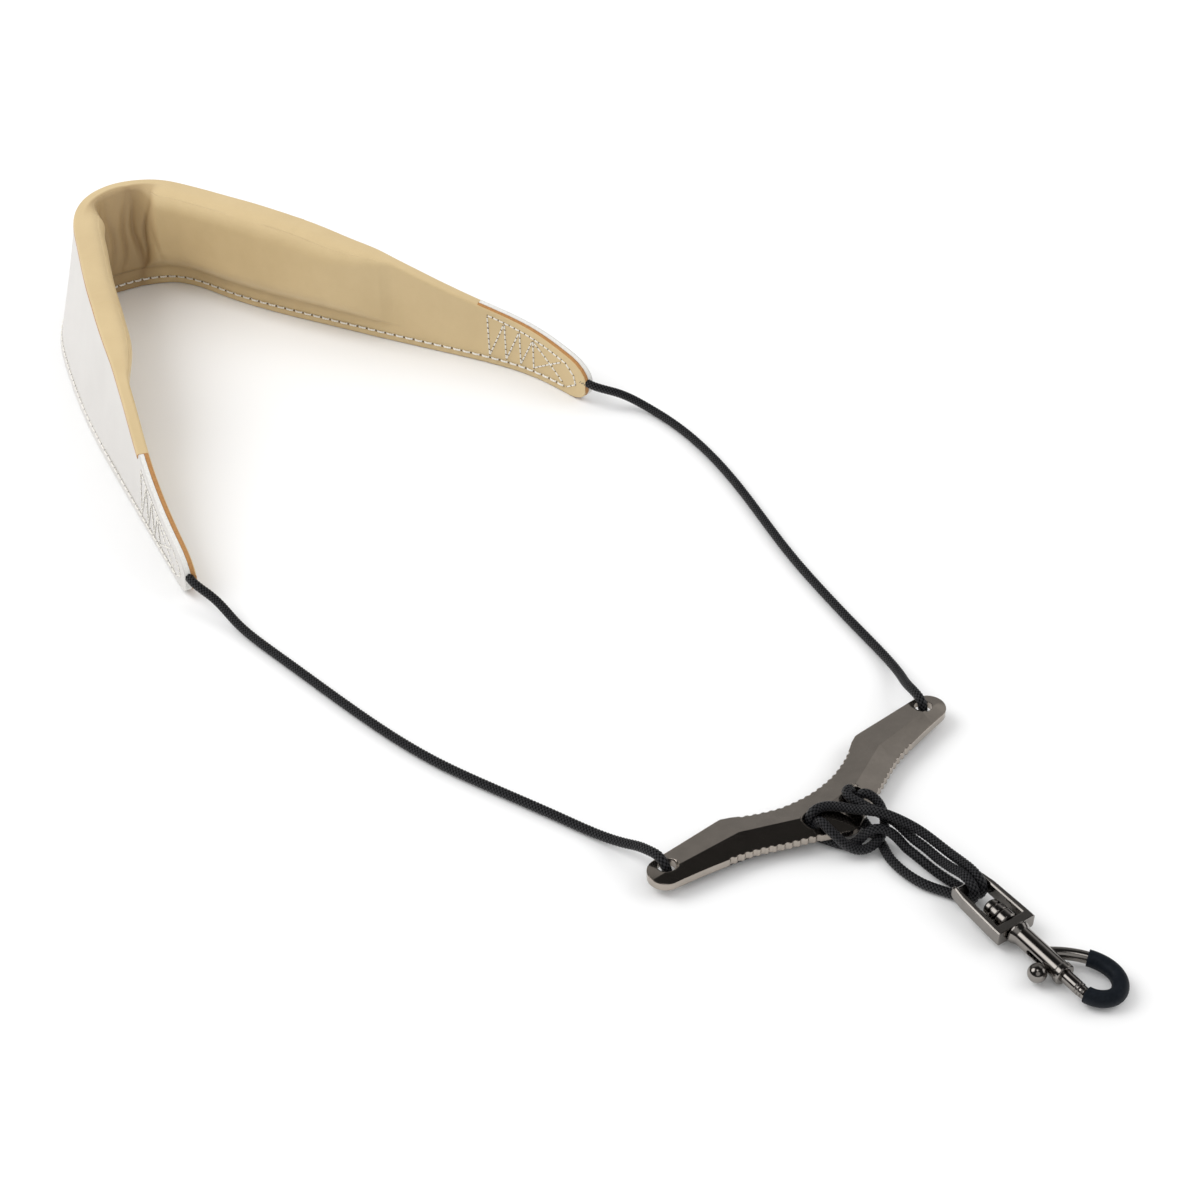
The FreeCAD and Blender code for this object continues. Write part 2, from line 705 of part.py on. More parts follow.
# Slices of the folded section: x, top edge y, ridge y, ridge share of full height, low edge y.
FOLD_SLICES = [
    (0, -5.0, -14.2, 1.0, -27.0),
    (12, -3.6, -13.4, 1.0, -21.8),
    (31.7, 5.4, -5.0, 1.0, -13.6),
    (54.5, 5.4, -3.2, 0.9, -8.6),
    (66, 5.4, -1.4, 0.05, -8.0),
]
SHOULDER_IN = (26.5, 2.8)
SHOULDER_OUT = (29.5, 4.9)


def bar_outline():
    """Flat outline of the bar."""
    dip = Part.Arc(V(-SHOULDER_IN[0], SHOULDER_IN[1], 0), V(0, -5.4, 0), V(*SHOULDER_IN, 0))
    half = LOWER_EDGE[:-1]
    low = half + [LOWER_EDGE[-1]] + [(-x, y) for x, y in reversed(half)]
    low_curve = spline([(x, y, 0) for x, y in low])
    edges = [dip.toShape(), low_curve.toShape()]
    for side in (-1, 1):
        shoulder = (V(side * SHOULDER_IN[0], SHOULDER_IN[1], 0),
                    V(side * SHOULDER_OUT[0], SHOULDER_OUT[1], 0),
                    V(side * 58.6, 4.9, 0))
        edges.append(Part.makeLine(shoulder[0], shoulder[1]))
        edges.append(Part.makeLine(shoulder[1], shoulder[2]))
        low_end = V(side * LOWER_EDGE[0][0], LOWER_EDGE[0][1], 0)
        tip = Part.Arc(shoulder[2], V(side * 65.4, -1.3, 0), low_end)
        edges.append(tip.toShape())
    wire = Part.Wire(Part.__sortEdges__(edges))
    return Part.Face(wire), dip, low_curve


def fold_slice(x, top, ridge_y, share, low):
    edge = size("bar_edge")
    ridge = mix(edge, size("bar_ridge"), share)
    points = [V(x, low, 0), V(x, low, edge), V(x, ridge_y, ridge), V(x, top, edge), V(x, top, 0)]
    return Part.makePolygon(points + [points[0]])


def edge_points(curve, start, end):
    """Evenly pitched points on a curve between two lengths."""
    count = int((end - start) / size("notch_pitch"))
    at = [start + i * size("notch_pitch") for i in range(count + 1)]
    return [curve.value(curve.parameterAtDistance(a)) for a in at]


def rounded_hole(x, y, diameter, top):
    """Cutter for a hole whose two rims are rounded."""
    r = diameter / 2
    rim = size("rim_round")
    profile = [V(0, 0, -1), V(r + rim, 0, -1), V(r + rim, 0, 0)]
    low_mid = V(r + rim * 0.29, 0, rim * 0.29)
    high_mid = V(r + rim * 0.29, 0, top - rim * 0.29)
    edges = [
        Part.makeLine(profile[0], profile[1]), Part.makeLine(profile[1], profile[2]),
        Part.Arc(V(r + rim, 0, 0), low_mid, V(r, 0, rim)).toShape(),
        Part.makeLine(V(r, 0, rim), V(r, 0, top - rim)),
        Part.Arc(V(r, 0, top - rim), high_mid, V(r + rim, 0, top)).toShape(),
        Part.makeLine(V(r + rim, 0, top), V(r + rim, 0, top + 3)),
        Part.makeLine(V(r + rim, 0, top + 3), V(0, 0, top + 3)),
        Part.makeLine(V(0, 0, top + 3), V(0, 0, -1)),
    ]
    face = Part.Face(Part.Wire(edges))
    cutter = face.revolve(V(0, 0, 0), V(0, 0, 1), 360)
    cutter.translate(V(x, y, 0))
    return cutter


def make_bar():
    face, dip, low = bar_outline()
    blank = face.extrude(V(0, 0, size("bar_ridge") + 1))
    slices = [fold_slice(-x, *rest) for x, *rest in reversed(FOLD_SLICES[1:])]
    slices += [fold_slice(*row) for row in FOLD_SLICES]
    bar = blank.common(ruled(slices))
    out = size("notch_dia") / 2 - 0.45
    marks = [V(p.x, p.y + out, 0) for p in edge_points(dip, 3.0, dip.length() - 3.0)]
    end = low.length()
    for p in edge_points(low, 20.0, 51.0) + edge_points(low, end - 51.0, end - 20.0):
        side = 1 if p.x > 0 else -1
        marks.append(p + V(side * 0.35, -0.93, 0).normalize() * out)
    for mark in marks:
        bar = bar.cut(drill(mark.x, mark.y, size("notch_dia") / 2, -1, 8))
    for side in (-1, 1):
        bar = bar.cut(rounded_hole(side * size("tip_hole_x"), 0, size("tip_hole_dia"), 4.0))
        x = side * size("mid_hole_x")
        bar = bar.cut(rounded_hole(x, size("mid_hole_y"), size("mid_hole_dia"), 4.7))
    bar.translate(V(0, 0, size("bar_under")))
    add_shape("y_bar", bar.Solids[0], bar_place)


# ---------------------------------------------------------------- hook

# Middle line of the hook's arm in the hook's frame, from the barrel round to the tip.
ARM_LINE = [
    (1.0, -33.6), (4.9, -36.4), (9.0, -40.4), (12.3, -45.8), (13.2, -51.4), (11.2, -56.2),
    (7.0, -58.4), (2.9, -57.0), (0.5, -54.0),
]


def make_yoke():
    body = new_body("yoke")
    near = length("yoke_half_near")
    far = length("yoke_half_far")
    near_in = near - "arm_near"
    far_in = far - "arm_far"
    lead = length("yoke_lead")
    bulge = near + 0.6
    waist = -length("yoke_waist")
    inner = -length("plate_near")
    outer = -length("plate_far")
    frame = closed_outline(body, "yoke_frame", "XY_Plane", [
        (near - 0.4, lead), (bulge, waist), (far, inner), (far, outer),
        (-far, outer), (-far, inner), (-bulge, waist), (-(near - 0.4), lead),
        (-near_in, lead), (-far_in, inner), (far_in, inner), (near_in, lead),
    ])
    block = body.newObject("PartDesign::Pad", "yoke_block")
    block.Profile = frame
    block.setExpression("Length", "Sizes.yoke_tall")
    block.Midplane = True
    doc.recompute()

    rod = circle_sketch(body, "crossbar_ring", "YZ_Plane", "crossbar_dia")
    crossbar = body.newObject("PartDesign::Pad", "crossbar")
    crossbar.Profile = rod
    crossbar.setExpression("Length", "2 * Sizes.yoke_half_near - Sizes.arm_near")
    crossbar.Midplane = True
    doc.recompute()

    bore_ring = circle_sketch(body, "bore_ring", "XZ_Plane", length("post_dia") + "run_gap" + "run_gap")
    bore_ring.AttachmentOffset = FreeCAD.Placement(V(0, 0, size("post_start")), FreeCAD.Rotation())
    bore = body.newObject("PartDesign::Pocket", "post_bore")
    bore.Profile = bore_ring
    bore.Type = 0
    bore.Reversed = True
    bore.setExpression("Length", "Sizes.plate_far - Sizes.post_start + 1")
    doc.recompute()

    rounds = []
    for i, edge in enumerate(bore.Shape.Edges, start=1):
        box = edge.BoundBox
        flat = box.YLength < 0.01 and box.ZLength < 0.01 and box.XLength > 1
        if flat and abs(box.YMin - size("yoke_lead")) < 0.01:
            rounds.append("Edge%d" % i)
    fillet = body.newObject("PartDesign::Fillet", "arm_ends")
    fillet.Base = (bore, rounds)
    fillet.Radius = 2.0
    doc.recompute()

    rims = []
    for i, edge in enumerate(fillet.Shape.Edges, start=1):
        box = edge.BoundBox
        level = box.ZLength < 0.01 and abs(abs(box.ZMin) - size("yoke_tall") / 2) < 0.01
        if level and box.YLength > 2.5:
            rims.append("Edge%d" % i)
    chamfer = body.newObject("PartDesign::Chamfer", "rims")
    chamfer.Base = (fillet, rims)
    chamfer.Size = 0.5
    body.Tip = chamfer
    doc.recompute()


def make_post():
    head = length("post_head_dia") / 2
    shank = length("post_dia") / 2
    start = -length("post_start")
    end = -length("head_end")
    groove = -length("head_groove")
    turned("swivel_post", [
        (0, start), (head - 0.9, start), (head - 0.3, start - 0.6), (head - 0.3, groove + 0.2),
        (head - 0.9, groove), (head - 0.9, groove - 0.6), (head, groove - 0.9),
        (head, end + 0.3), (head - 0.3, end), (shank, end), (shank, -length("post_end")),
        (0, -length("post_end")),
    ])


def make_washer():
    bore = length("post_dia") / 2 + "fix_gap"
    outer = length("washer_dia") / 2
    start = -length("washer_start")
    end = -length("washer_end")
    turned("swivel_washer", [
        (bore, start), (outer - 0.5, start), (outer, start - 0.5), (outer, end + 0.5),
        (outer - 0.5, end), (bore, end),
    ])


def make_bolt():
    radius = length("bolt_dia") / 2
    start = -length("bolt_start")
    end = -length("bolt_end")
    body = turned("gate_bolt", [
        (0, start), (radius - 0.3, start), (radius, start - 0.3), (radius, end + 1.5),
        (radius - 0.25, end + 1.3), (radius - 0.25, end + 1.0), (radius, end + 0.8),
        (radius, end + 0.3), (radius - 0.3, end), (0, end),
    ])
    turn = body.Tip
    doc.recompute()
    ring = new_sketch(body, "stem_ring", "YZ_Plane")
    stem = length("stem_dia") / 2 + "fix_gap"
    at = -length("knob_at")
    ring.addGeometry(Part.Circle(V(at.number, 0, 0), V(0, 0, 1), stem.number), False)
    ring.addConstraint(Sketcher.Constraint("PointOnObject", 0, 3, -1))
    tie(ring, "DistanceX", 0, 3, at)
    mark = ring.addConstraint(Sketcher.Constraint("Radius", 0, stem.number))
    ring.setExpression("Constraints[%d]" % mark, stem.text)
    hole = body.newObject("PartDesign::Pocket", "stem_hole")
    hole.Profile = ring
    hole.Type = 0
    hole.Length = 5
    doc.recompute()
    if not hole.Shape.Solids or hole.Shape.Solids[0].CenterOfMass.x < 0:
        hole.Reversed = True
        doc.recompute()
    body.Tip = hole
    assert hole.Shape.Volume < turn.Shape.Volume - 1


def make_knob():
    """Thumb knob: a ball on a stem, made of bound primitives."""
    ball = doc.addObject("Part::Sphere", "knob_ball")
    ball.setExpression("Radius", "Sizes.knob_dia / 2")
    ball.Placement = FreeCAD.Placement(V(-size("knob_out"), -size("knob_at"), 0), FreeCAD.Rotation())
    stem = doc.addObject("Part::Cylinder", "knob_stem")
    stem.setExpression("Radius", "Sizes.stem_dia / 2")
    stem.setExpression("Height", "Sizes.knob_out - 0.2")
    turn = FreeCAD.Rotation(V(0, 0, 1), V(-1, 0, 0))
    stem.Placement = FreeCAD.Placement(V(-0.2, -size("knob_at"), 0), turn)
    knob = doc.addObject("Part::Fuse", "thumb_knob")
    knob.Base = ball
    knob.Tool = stem
    knob.Label = "thumb_knob"
    knob.Placement = hook_place
    sub_parts.append(knob)


def along_hook(radius, start, end):
    """A round bar on the hook's axis between two distances from the crossbar."""
    return Part.makeCylinder(radius, end - start, V(0, -start, 0), V(0, -1, 0))


def arm_edge(from_share=0.0, to_share=1.0):
    points = [(x, y, 0) for x, y in ARM_LINE] + [(0, -size("tip_start"), 0)]
    curve = spline(points)
    total = curve.length()
    return curve.toShape(
        curve.parameterAtDistance(total * from_share) if from_share else curve.FirstParameter,
        curve.parameterAtDistance(total * to_share) if to_share < 1 else curve.LastParameter,
    )


def make_hook():
    barrel_r = size("barrel_dia") / 2
    collar_r = size("collar_dia") / 2
    ring_r = size("end_ring_dia") / 2
    start = size("barrel_start")
    end = size("barrel_end")
    outline = [
        (0, start), (collar_r - 0.4, start), (collar_r, start + 0.4), (collar_r, start + 1.0),
        (barrel_r, start + 2.6), (barrel_r, end - 2.4), (ring_r, end - 2.0), (ring_r, end - 0.3),
        (ring_r - 0.3, end), (0, end),
    ]
    points = [V(r, -y, 0) for r, y in outline]
    face = Part.Face(Part.makePolygon(points + [points[0]]))
    barrel = face.revolve(V(0, 0, 0), V(0, 1, 0), 360)
    hook = barrel.fuse(swept(arm_edge(), size("arm_dia") / 2))
    socket = along_hook(size("post_dia") / 2 + size("fix_gap"), start - 1, size("post_end") + 0.1)
    bore_r = size("bolt_dia") / 2 + size("run_gap")
    bore = along_hook(bore_r, size("spring_start"), end + 1)
    stem_r = size("stem_dia") / 2 + 0.1
    slot_from = size("knob_at") - size("bolt_travel") - 0.1
    slot_to = size("knob_at") + 0.1
    slot = Part.makeBox(6, slot_to - slot_from, 2 * stem_r, V(-6, -slot_to, -stem_r))
    for y in (slot_from, slot_to):
        slot = slot.fuse(Part.makeCylinder(stem_r, 6, V(0, -y, 0), V(-1, 0, 0)))
    groove = along_hook(3, size("tip_start") + 0.9, size("tip_start") + 1.3)
    core_r = size("arm_dia") / 2 - 0.25
    groove = groove.cut(along_hook(core_r, size("tip_start"), size("tip_start") + 3))
    hook = hook.cut(socket).cut(bore).cut(slot).cut(groove)
    add_shape("hook_body", hook.Solids[0], hook_place)

    outer = swept(arm_edge(0.30, 0.955), size("sleeve_dia") / 2)
    inner = swept(arm_edge(0.29, 0.965), size("arm_dia") / 2 + size("fix_gap"))
    add_shape("rubber_sleeve", outer.cut(inner).Solids[0], hook_place)


def make_spring():
    wire = size("spring_wire")
    room = size("bolt_start") - size("spring_start") - wire - 0.2
    coil = Part.makeHelix(room / 7, room, size("spring_mid_dia") / 2)
    edge = coil.Edges[0]
    start = edge.FirstParameter
    ring = Part.Circle(edge.valueAt(start), edge.tangentAt(start), wire / 2)
    spring = coil.makePipeShell([Part.Wire([ring.toShape()])], True, True)
    if spring.Volume < 0:
        spring.reverse()
    spring.rotate(V(0, 0, 0), V(1, 0, 0), 90)
    spring.translate(V(0, -(size("spring_start") + wire / 2 + 0.1), 0))
    add_shape("bolt_spring", spring, hook_place)


# ---------------------------------------------------------------- build and write

make_pad()
make_stitching()
make_cords()
make_bar()
make_yoke()
make_post()
make_washer()
make_hook()
make_bolt()
make_knob()
make_spring()
doc.recompute()

for item in doc.Objects:
    if "Invalid" in item.State or "Error" in item.State:
        raise RuntimeError("%s is not valid: %s" % (item.Label, item.State))
for part in sub_parts:
    if part.Shape.isNull() or not part.Shape.isValid() or part.Shape.Volume <= 0:
        raise RuntimeError("%s has no valid shape" % part.Label)

os.makedirs("parts", exist_ok=True)
for part in sub_parts:
    part.Shape.exportStep("parts/%s.step" % part.Label)
    print(part.Label, len(part.Shape.Solids), round(part.Shape.Volume, 2))
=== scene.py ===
import json
import math

import bpy
import numpy as np
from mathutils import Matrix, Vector


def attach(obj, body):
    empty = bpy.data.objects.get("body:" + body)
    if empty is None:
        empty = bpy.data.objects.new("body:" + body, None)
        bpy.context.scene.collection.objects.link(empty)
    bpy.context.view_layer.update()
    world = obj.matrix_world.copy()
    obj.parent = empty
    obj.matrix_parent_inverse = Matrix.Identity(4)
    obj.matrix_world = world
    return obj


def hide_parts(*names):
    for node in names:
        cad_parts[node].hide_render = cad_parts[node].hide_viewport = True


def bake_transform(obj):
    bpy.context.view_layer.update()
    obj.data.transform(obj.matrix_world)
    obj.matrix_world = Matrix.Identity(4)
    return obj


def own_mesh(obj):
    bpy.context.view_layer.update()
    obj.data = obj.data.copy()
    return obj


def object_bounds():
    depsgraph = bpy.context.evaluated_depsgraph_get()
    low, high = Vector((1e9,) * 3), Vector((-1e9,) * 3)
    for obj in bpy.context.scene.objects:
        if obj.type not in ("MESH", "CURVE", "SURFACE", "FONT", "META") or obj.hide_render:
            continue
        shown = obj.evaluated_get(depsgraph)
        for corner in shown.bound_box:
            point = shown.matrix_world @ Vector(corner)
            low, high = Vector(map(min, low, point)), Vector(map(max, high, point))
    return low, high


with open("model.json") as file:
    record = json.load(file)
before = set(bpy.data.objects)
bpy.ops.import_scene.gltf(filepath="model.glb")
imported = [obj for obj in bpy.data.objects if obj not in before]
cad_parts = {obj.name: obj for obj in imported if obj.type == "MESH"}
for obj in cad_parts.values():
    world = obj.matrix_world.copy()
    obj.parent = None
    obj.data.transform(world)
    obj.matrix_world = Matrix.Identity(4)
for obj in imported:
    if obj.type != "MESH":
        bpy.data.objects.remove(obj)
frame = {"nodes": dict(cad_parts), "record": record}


def plain_bounds():
    low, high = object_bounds()
    return [list(map(float, low)), list(map(float, high))]


bounds_at_load = plain_bounds()

# Shapes are in millimetres in the bar's own frame until they are put on a mesh. SHIFT is the
# middle of the bar's tip holes from the row's origin.
SHIFT = np.array([-10.95, 116.0, 0.0])
MM = 0.001
JOINTS = {joint["name"]: joint for joint in frame["record"]["behaviour"]["joints"]}


def joint_place(name):
    """A joint's place in the bar's frame."""
    return np.array(JOINTS[name]["pos_m"]) / MM - SHIFT


# ------------------------------------------------------------------ small maths

def smooth_curve(points, count):
    """Natural cubic spline through points by chord length, sampled evenly along its length."""
    points = np.array(points, float)
    steps = np.linalg.norm(np.diff(points, axis=0), axis=1)
    knots = np.concatenate([[0], np.cumsum(steps)])
    n = len(points)
    gaps = np.diff(knots)
    system = np.eye(n)
    right = np.zeros_like(points)
    for i in range(1, n - 1):
        system[i, i - 1] = gaps[i - 1]
        system[i, i] = 2 * (gaps[i - 1] + gaps[i])
        system[i, i + 1] = gaps[i]
        slope_after = (points[i + 1] - points[i]) / gaps[i]
        slope_before = (points[i] - points[i - 1]) / gaps[i - 1]
        right[i] = 6 * (slope_after - slope_before)
    bend = np.linalg.solve(system, right)

    def value(t):
        i = np.clip(np.searchsorted(knots, t, side="right") - 1, 0, n - 2)
        h = gaps[i][:, None]
        a = (knots[i + 1] - t)[:, None]
        b = (t - knots[i])[:, None]
        out = bend[i] * a ** 3 / (6 * h) + bend[i + 1] * b ** 3 / (6 * h)
        out += (points[i] / h - bend[i] * h / 6) * a
        out += (points[i + 1] / h - bend[i + 1] * h / 6) * b
        return out

    fine = value(np.linspace(0, knots[-1], max(4000, count * 4)))
    run = np.concatenate([[0], np.cumsum(np.linalg.norm(np.diff(fine, axis=0), axis=1))])
    even = np.linspace(0, run[-1], count)
    return np.stack([np.interp(even, run, fine[:, k]) for k in range(points.shape[1])], 1), run[-1]


def at_distance(curve, total, d):
    t = np.clip(np.asarray(d, float) / total, 0, 1) * (len(curve) - 1)
    i = np.minimum(t.astype(int), len(curve) - 2)
    f = (t - i)[..., None]
    return curve[i] * (1 - f) + curve[i + 1] * f


def mix(a, b, share):
    return a + (b - a) * share


def bump_noise(x, seed):
    """Slow wandering value between about -1 and 1."""
    out = np.zeros_like(x)
    for k in range(1, 5):
        phase = math.sin(seed * 12.9898 + k * 78.233) * 43758.5453
        out = out + np.sin(x * k * 0.73 + phase) / k
    return out / 1.6


# ------------------------------------------------------------------ meshes

def add_mesh(name, verts, faces, materials, indices=None):
    """A mesh object from bar-frame millimetres."""
    mesh = bpy.data.meshes.new(name)
    points = (np.asarray(verts, float) + SHIFT) * MM
    mesh.from_pydata(points.tolist(), [], [list(map(int, f)) for f in faces])
    for m in materials:
        mesh.materials.append(m)
    if indices is not None:
        mesh.polygons.foreach_set("material_index", np.asarray(indices, np.int32))
    mesh.shade_smooth()
    mesh.update()
    thing = bpy.data.objects.new(name, mesh)
    bpy.context.scene.collection.objects.link(thing)
    return thing


def set_shade(thing, values):
    """A number at every vertex that the materials read as depth of shade or height."""
    layer = thing.data.attributes.new("shade", "FLOAT", "POINT")
    layer.data.foreach_set("value", np.asarray(values, np.float32).ravel())


def grid_faces(rows, cols, closed):
    """Quads of a rows x cols grid; columns wrap round when closed."""
    r = np.arange(rows - 1)[:, None]
    c = np.arange(cols if closed else cols - 1)[None, :]
    n = (c + 1) % cols
    quads = np.stack([r * cols + c, r * cols + n, (r + 1) * cols + n, (r + 1) * cols + c], -1)
    return quads.reshape(-1, 4)


def frames_along(path):
    """Tangent and two side directions that do not twist along a path."""
    tangent = np.gradient(path, axis=0)
    tangent /= np.linalg.norm(tangent, axis=1)[:, None]
    side = np.zeros_like(path)
    first = np.array([0, 0, 1.0]) if abs(tangent[0, 2]) < 0.9 else np.array([1.0, 0, 0])
    current = first - tangent[0] * (first @ tangent[0])
    for i in range(len(path)):
        current = current - tangent[i] * (current @ tangent[i])
        current /= np.linalg.norm(current)
        side[i] = current
    return tangent, side, np.cross(tangent, side)


# ------------------------------------------------------------------ materials

def material(name):
    m = bpy.data.materials.new(name)
    m.use_nodes = True
    nodes = m.node_tree.nodes
    shader = nodes["Principled BSDF"]
    return m, nodes, m.node_tree.links, shader


def noise(nodes, links, scale, detail=4.0, rough=0.5, coords=None):
    n = nodes.new("ShaderNodeTexNoise")
    n.inputs["Scale"].default_value = scale
    n.inputs["Detail"].default_value = detail
    n.inputs["Roughness"].default_value = rough
    if coords is not None:
        links.new(coords, n.inputs["Vector"])
    return n


def object_coords(nodes):
    return nodes.new("ShaderNodeTexCoord").outputs["Object"]


def ramp(nodes, links, source, stops):
    r = nodes.new("ShaderNodeValToRGB")
    while len(r.color_ramp.elements) < len(stops):
        r.color_ramp.elements.new(0.5)
    for element, (where, colour) in zip(r.color_ramp.elements, stops):
        element.position = where
        element.color = (*colour, 1.0)
    links.new(source, r.inputs["Fac"])
    return r.outputs["Color"]


def add_bump(nodes, links, shader, height, strength, distance, before=None):
    b = nodes.new("ShaderNodeBump")
    b.inputs["Strength"].default_value = strength
    b.inputs["Distance"].default_value = distance
    links.new(height, b.inputs["Height"])
    if before is not None:
        links.new(before, b.inputs["Normal"])
    links.new(b.outputs["Normal"], shader.inputs["Normal"])
    return b.outputs["Normal"]


def shaded(nodes, links, colour, deep=(0.0, 0.0, 0.0)):
    """Colour multiplied by the mesh's painted shade, from deep in the hollows to plain at the crowns."""
    reader = nodes.new("ShaderNodeAttribute")
    reader.attribute_name = "shade"
    painted_shade_tone = ramp(nodes, links, reader.outputs["Fac"], [(0.0, deep), (1.0, (1.0, 1.0, 1.0))])
    both = nodes.new("ShaderNodeMix")
    both.data_type = "RGBA"
    both.blend_type = "MULTIPLY"
    both.inputs["Factor"].default_value = 1.0
    links.new(colour, both.inputs[6])
    links.new(painted_shade_tone, both.inputs[7])
    return both.outputs[2]


def leather(name, light, dark, rough, grain, uses_shade=False):
    """Fine-grained leather: pebbled grain, pores, slow colour variation."""
    m, nodes, links, shader = material(name)
    where = object_coords(nodes)
    broad = noise(nodes, links, 38, 5, 0.6, where)
    colour = ramp(nodes, links, broad.outputs["Fac"], [(0.32, dark), (0.68, light)])
    # Painted shade: the beige leather's colour is multiplied down to a deep tan where the mesh's shade
    # attribute marks hollows.
    colour = shaded(nodes, links, colour, (0.22, 0.10, 0.0)) if uses_shade else colour
    links.new(colour, shader.inputs["Base Color"])
    cells = nodes.new("ShaderNodeTexVoronoi")
    cells.feature = "SMOOTH_F1"
    cells.inputs["Scale"].default_value = 1150
    cells.inputs["Smoothness"].default_value = 0.6
    links.new(where, cells.inputs["Vector"])
    fine = noise(nodes, links, 2600, 3, 0.6, where)
    blend = nodes.new("ShaderNodeMath")
    blend.operation = "MULTIPLY_ADD"
    links.new(fine.outputs["Fac"], blend.inputs[0])
    blend.inputs[1].default_value = 0.35
    links.new(cells.outputs["Distance"], blend.inputs[2])
    first = add_bump(nodes, links, shader, blend.outputs["Value"], grain, 0.00012)
    soft = noise(nodes, links, 120, 3, 0.5, where)
    add_bump(nodes, links, shader, soft.outputs["Fac"], 0.10, 0.0006, first)
    spread = nodes.new("ShaderNodeMapRange")
    spread.inputs["To Min"].default_value = rough - 0.06
    spread.inputs["To Max"].default_value = rough + 0.08
    links.new(broad.outputs["Fac"], spread.inputs["Value"])
    links.new(spread.outputs["Result"], shader.inputs["Roughness"])
    shader.inputs["Specular IOR Level"].default_value = 0.35
    shader.inputs["Sheen Weight"].default_value = 0.05
    return m


def cut_edge(name, light, dark):
    """Raw cut edge of leather: fibrous, matt."""
    m, nodes, links, shader = material(name)
    where = object_coords(nodes)
    fibres = noise(nodes, links, 1400, 4, 0.7, where)
    colour = ramp(nodes, links, fibres.outputs["Fac"], [(0.3, dark), (0.7, light)])
    links.new(colour, shader.inputs["Base Color"])
    shader.inputs["Roughness"].default_value = 0.8
    add_bump(nodes, links, shader, fibres.outputs["Fac"], 0.5, 0.0001)
    return m


def thread_material():
    m, nodes, links, shader = material("white_thread")
    where = object_coords(nodes)
    fuzz = noise(nodes, links, 3000, 3, 0.6, where)
    dull, bright = (0.70, 0.67, 0.60), (0.90, 0.88, 0.83)
    colour = ramp(nodes, links, fuzz.outputs["Fac"], [(0.3, dull), (0.7, bright)])
    links.new(colour, shader.inputs["Base Color"])
    shader.inputs["Roughness"].default_value = 0.6
    shader.inputs["Sheen Weight"].default_value = 0.3
    add_bump(nodes, links, shader, fuzz.outputs["Fac"], 0.3, 0.00005)
    return m


def cord_material():
    """Black polyester braid; the strands are modelled, with painted shade in the hollows between them and
    a painted highlight on their crowns.
    """
    m, nodes, links, shader = material("black_braid")
    where = object_coords(nodes)
    reader = nodes.new("ShaderNodeAttribute")
    reader.attribute_name = "shade"
    wander = noise(nodes, links, 1500, 3, 0.6, where)
    height = nodes.new("ShaderNodeMath")
    height.operation = "MULTIPLY_ADD"
    links.new(wander.outputs["Fac"], height.inputs[0])
    height.inputs[1].default_value = 0.30
    links.new(reader.outputs["Fac"], height.inputs[2])
    # Painted shade and painted highlight: the colour goes blackest in the braid's hollows and brightens
    # to a painted glint at each strand's crown.
    black = (0.0006, 0.0006, 0.0008)
    strand_tone = (0.0016, 0.0016, 0.0019)
    bright = (0.016, 0.016, 0.018)
    colour = ramp(nodes, links, height.outputs["Value"], [(0.0, black), (0.86, strand_tone), (1.0, bright)])
    links.new(colour, shader.inputs["Base Color"])
    yarn = noise(nodes, links, 4200, 2, 0.5, where)
    add_bump(nodes, links, shader, yarn.outputs["Fac"], 0.25, 0.00005)
    shader.inputs["Roughness"].default_value = 0.32
    gleam = nodes.new("ShaderNodeMapRange")
    gleam.inputs["From Min"].default_value = 0.55
    gleam.inputs["From Max"].default_value = 1.0
    gleam.inputs["To Min"].default_value = 0.02
    gleam.inputs["To Max"].default_value = 0.5
    links.new(reader.outputs["Fac"], gleam.inputs["Value"])
    links.new(gleam.outputs["Result"], shader.inputs["Specular IOR Level"])
    return m


def gunmetal(name, tint, rough, rounding):
    """Polished black nickel: rounded edges, faint handling marks and clouding."""
    m, nodes, links, shader = material(name)
    where = object_coords(nodes)
    cloud = noise(nodes, links, 160, 4, 0.6, where)
    dark = tuple(c * 0.86 for c in tint)
    colour = ramp(nodes, links, cloud.outputs["Fac"], [(0.3, dark), (0.7, tint)])
    links.new(colour, shader.inputs["Base Color"])
    shader.inputs["Metallic"].default_value = 1.0
    marks = noise(nodes, links, 1800, 2, 0.8, where)
    spread = nodes.new("ShaderNodeMapRange")
    spread.inputs["To Min"].default_value = rough - 0.03
    spread.inputs["To Max"].default_value = rough + 0.07
    links.new(marks.outputs["Fac"], spread.inputs["Value"])
    links.new(spread.outputs["Result"], shader.inputs["Roughness"])
    soft = nodes.new("ShaderNodeBevel")
    soft.samples = 6
    soft.inputs["Radius"].default_value = rounding
    add_bump(nodes, links, shader, marks.outputs["Fac"], 0.03, 0.00003, soft.outputs["Normal"])
    return m


def rubber():
    m, nodes, links, shader = material("dark_rubber")
    where = object_coords(nodes)
    dust = noise(nodes, links, 700, 4, 0.7, where)
    clean, dusty = (0.004, 0.006, 0.009), (0.010, 0.013, 0.018)
    colour = ramp(nodes, links, dust.outputs["Fac"], [(0.3, clean), (0.8, dusty)])
    links.new(colour, shader.inputs["Base Color"])
    shader.inputs["Roughness"].default_value = 0.5
    shader.inputs["Specular IOR Level"].default_value = 0.14
    add_bump(nodes, links, shader, dust.outputs["Fac"], 0.12, 0.0001)
    return m


def foam():
    m, nodes, links, shader = material("pad_foam")
    where = object_coords(nodes)
    pores = noise(nodes, links, 1600, 4, 0.7, where)
    pore, skin = (0.50, 0.47, 0.38), (0.78, 0.75, 0.66)
    colour = ramp(nodes, links, pores.outputs["Fac"], [(0.3, pore), (0.7, skin)])
    links.new(colour, shader.inputs["Base Color"])
    shader.inputs["Roughness"].default_value = 0.95
    add_bump(nodes, links, shader, pores.outputs["Fac"], 0.5, 0.0002)
    return m


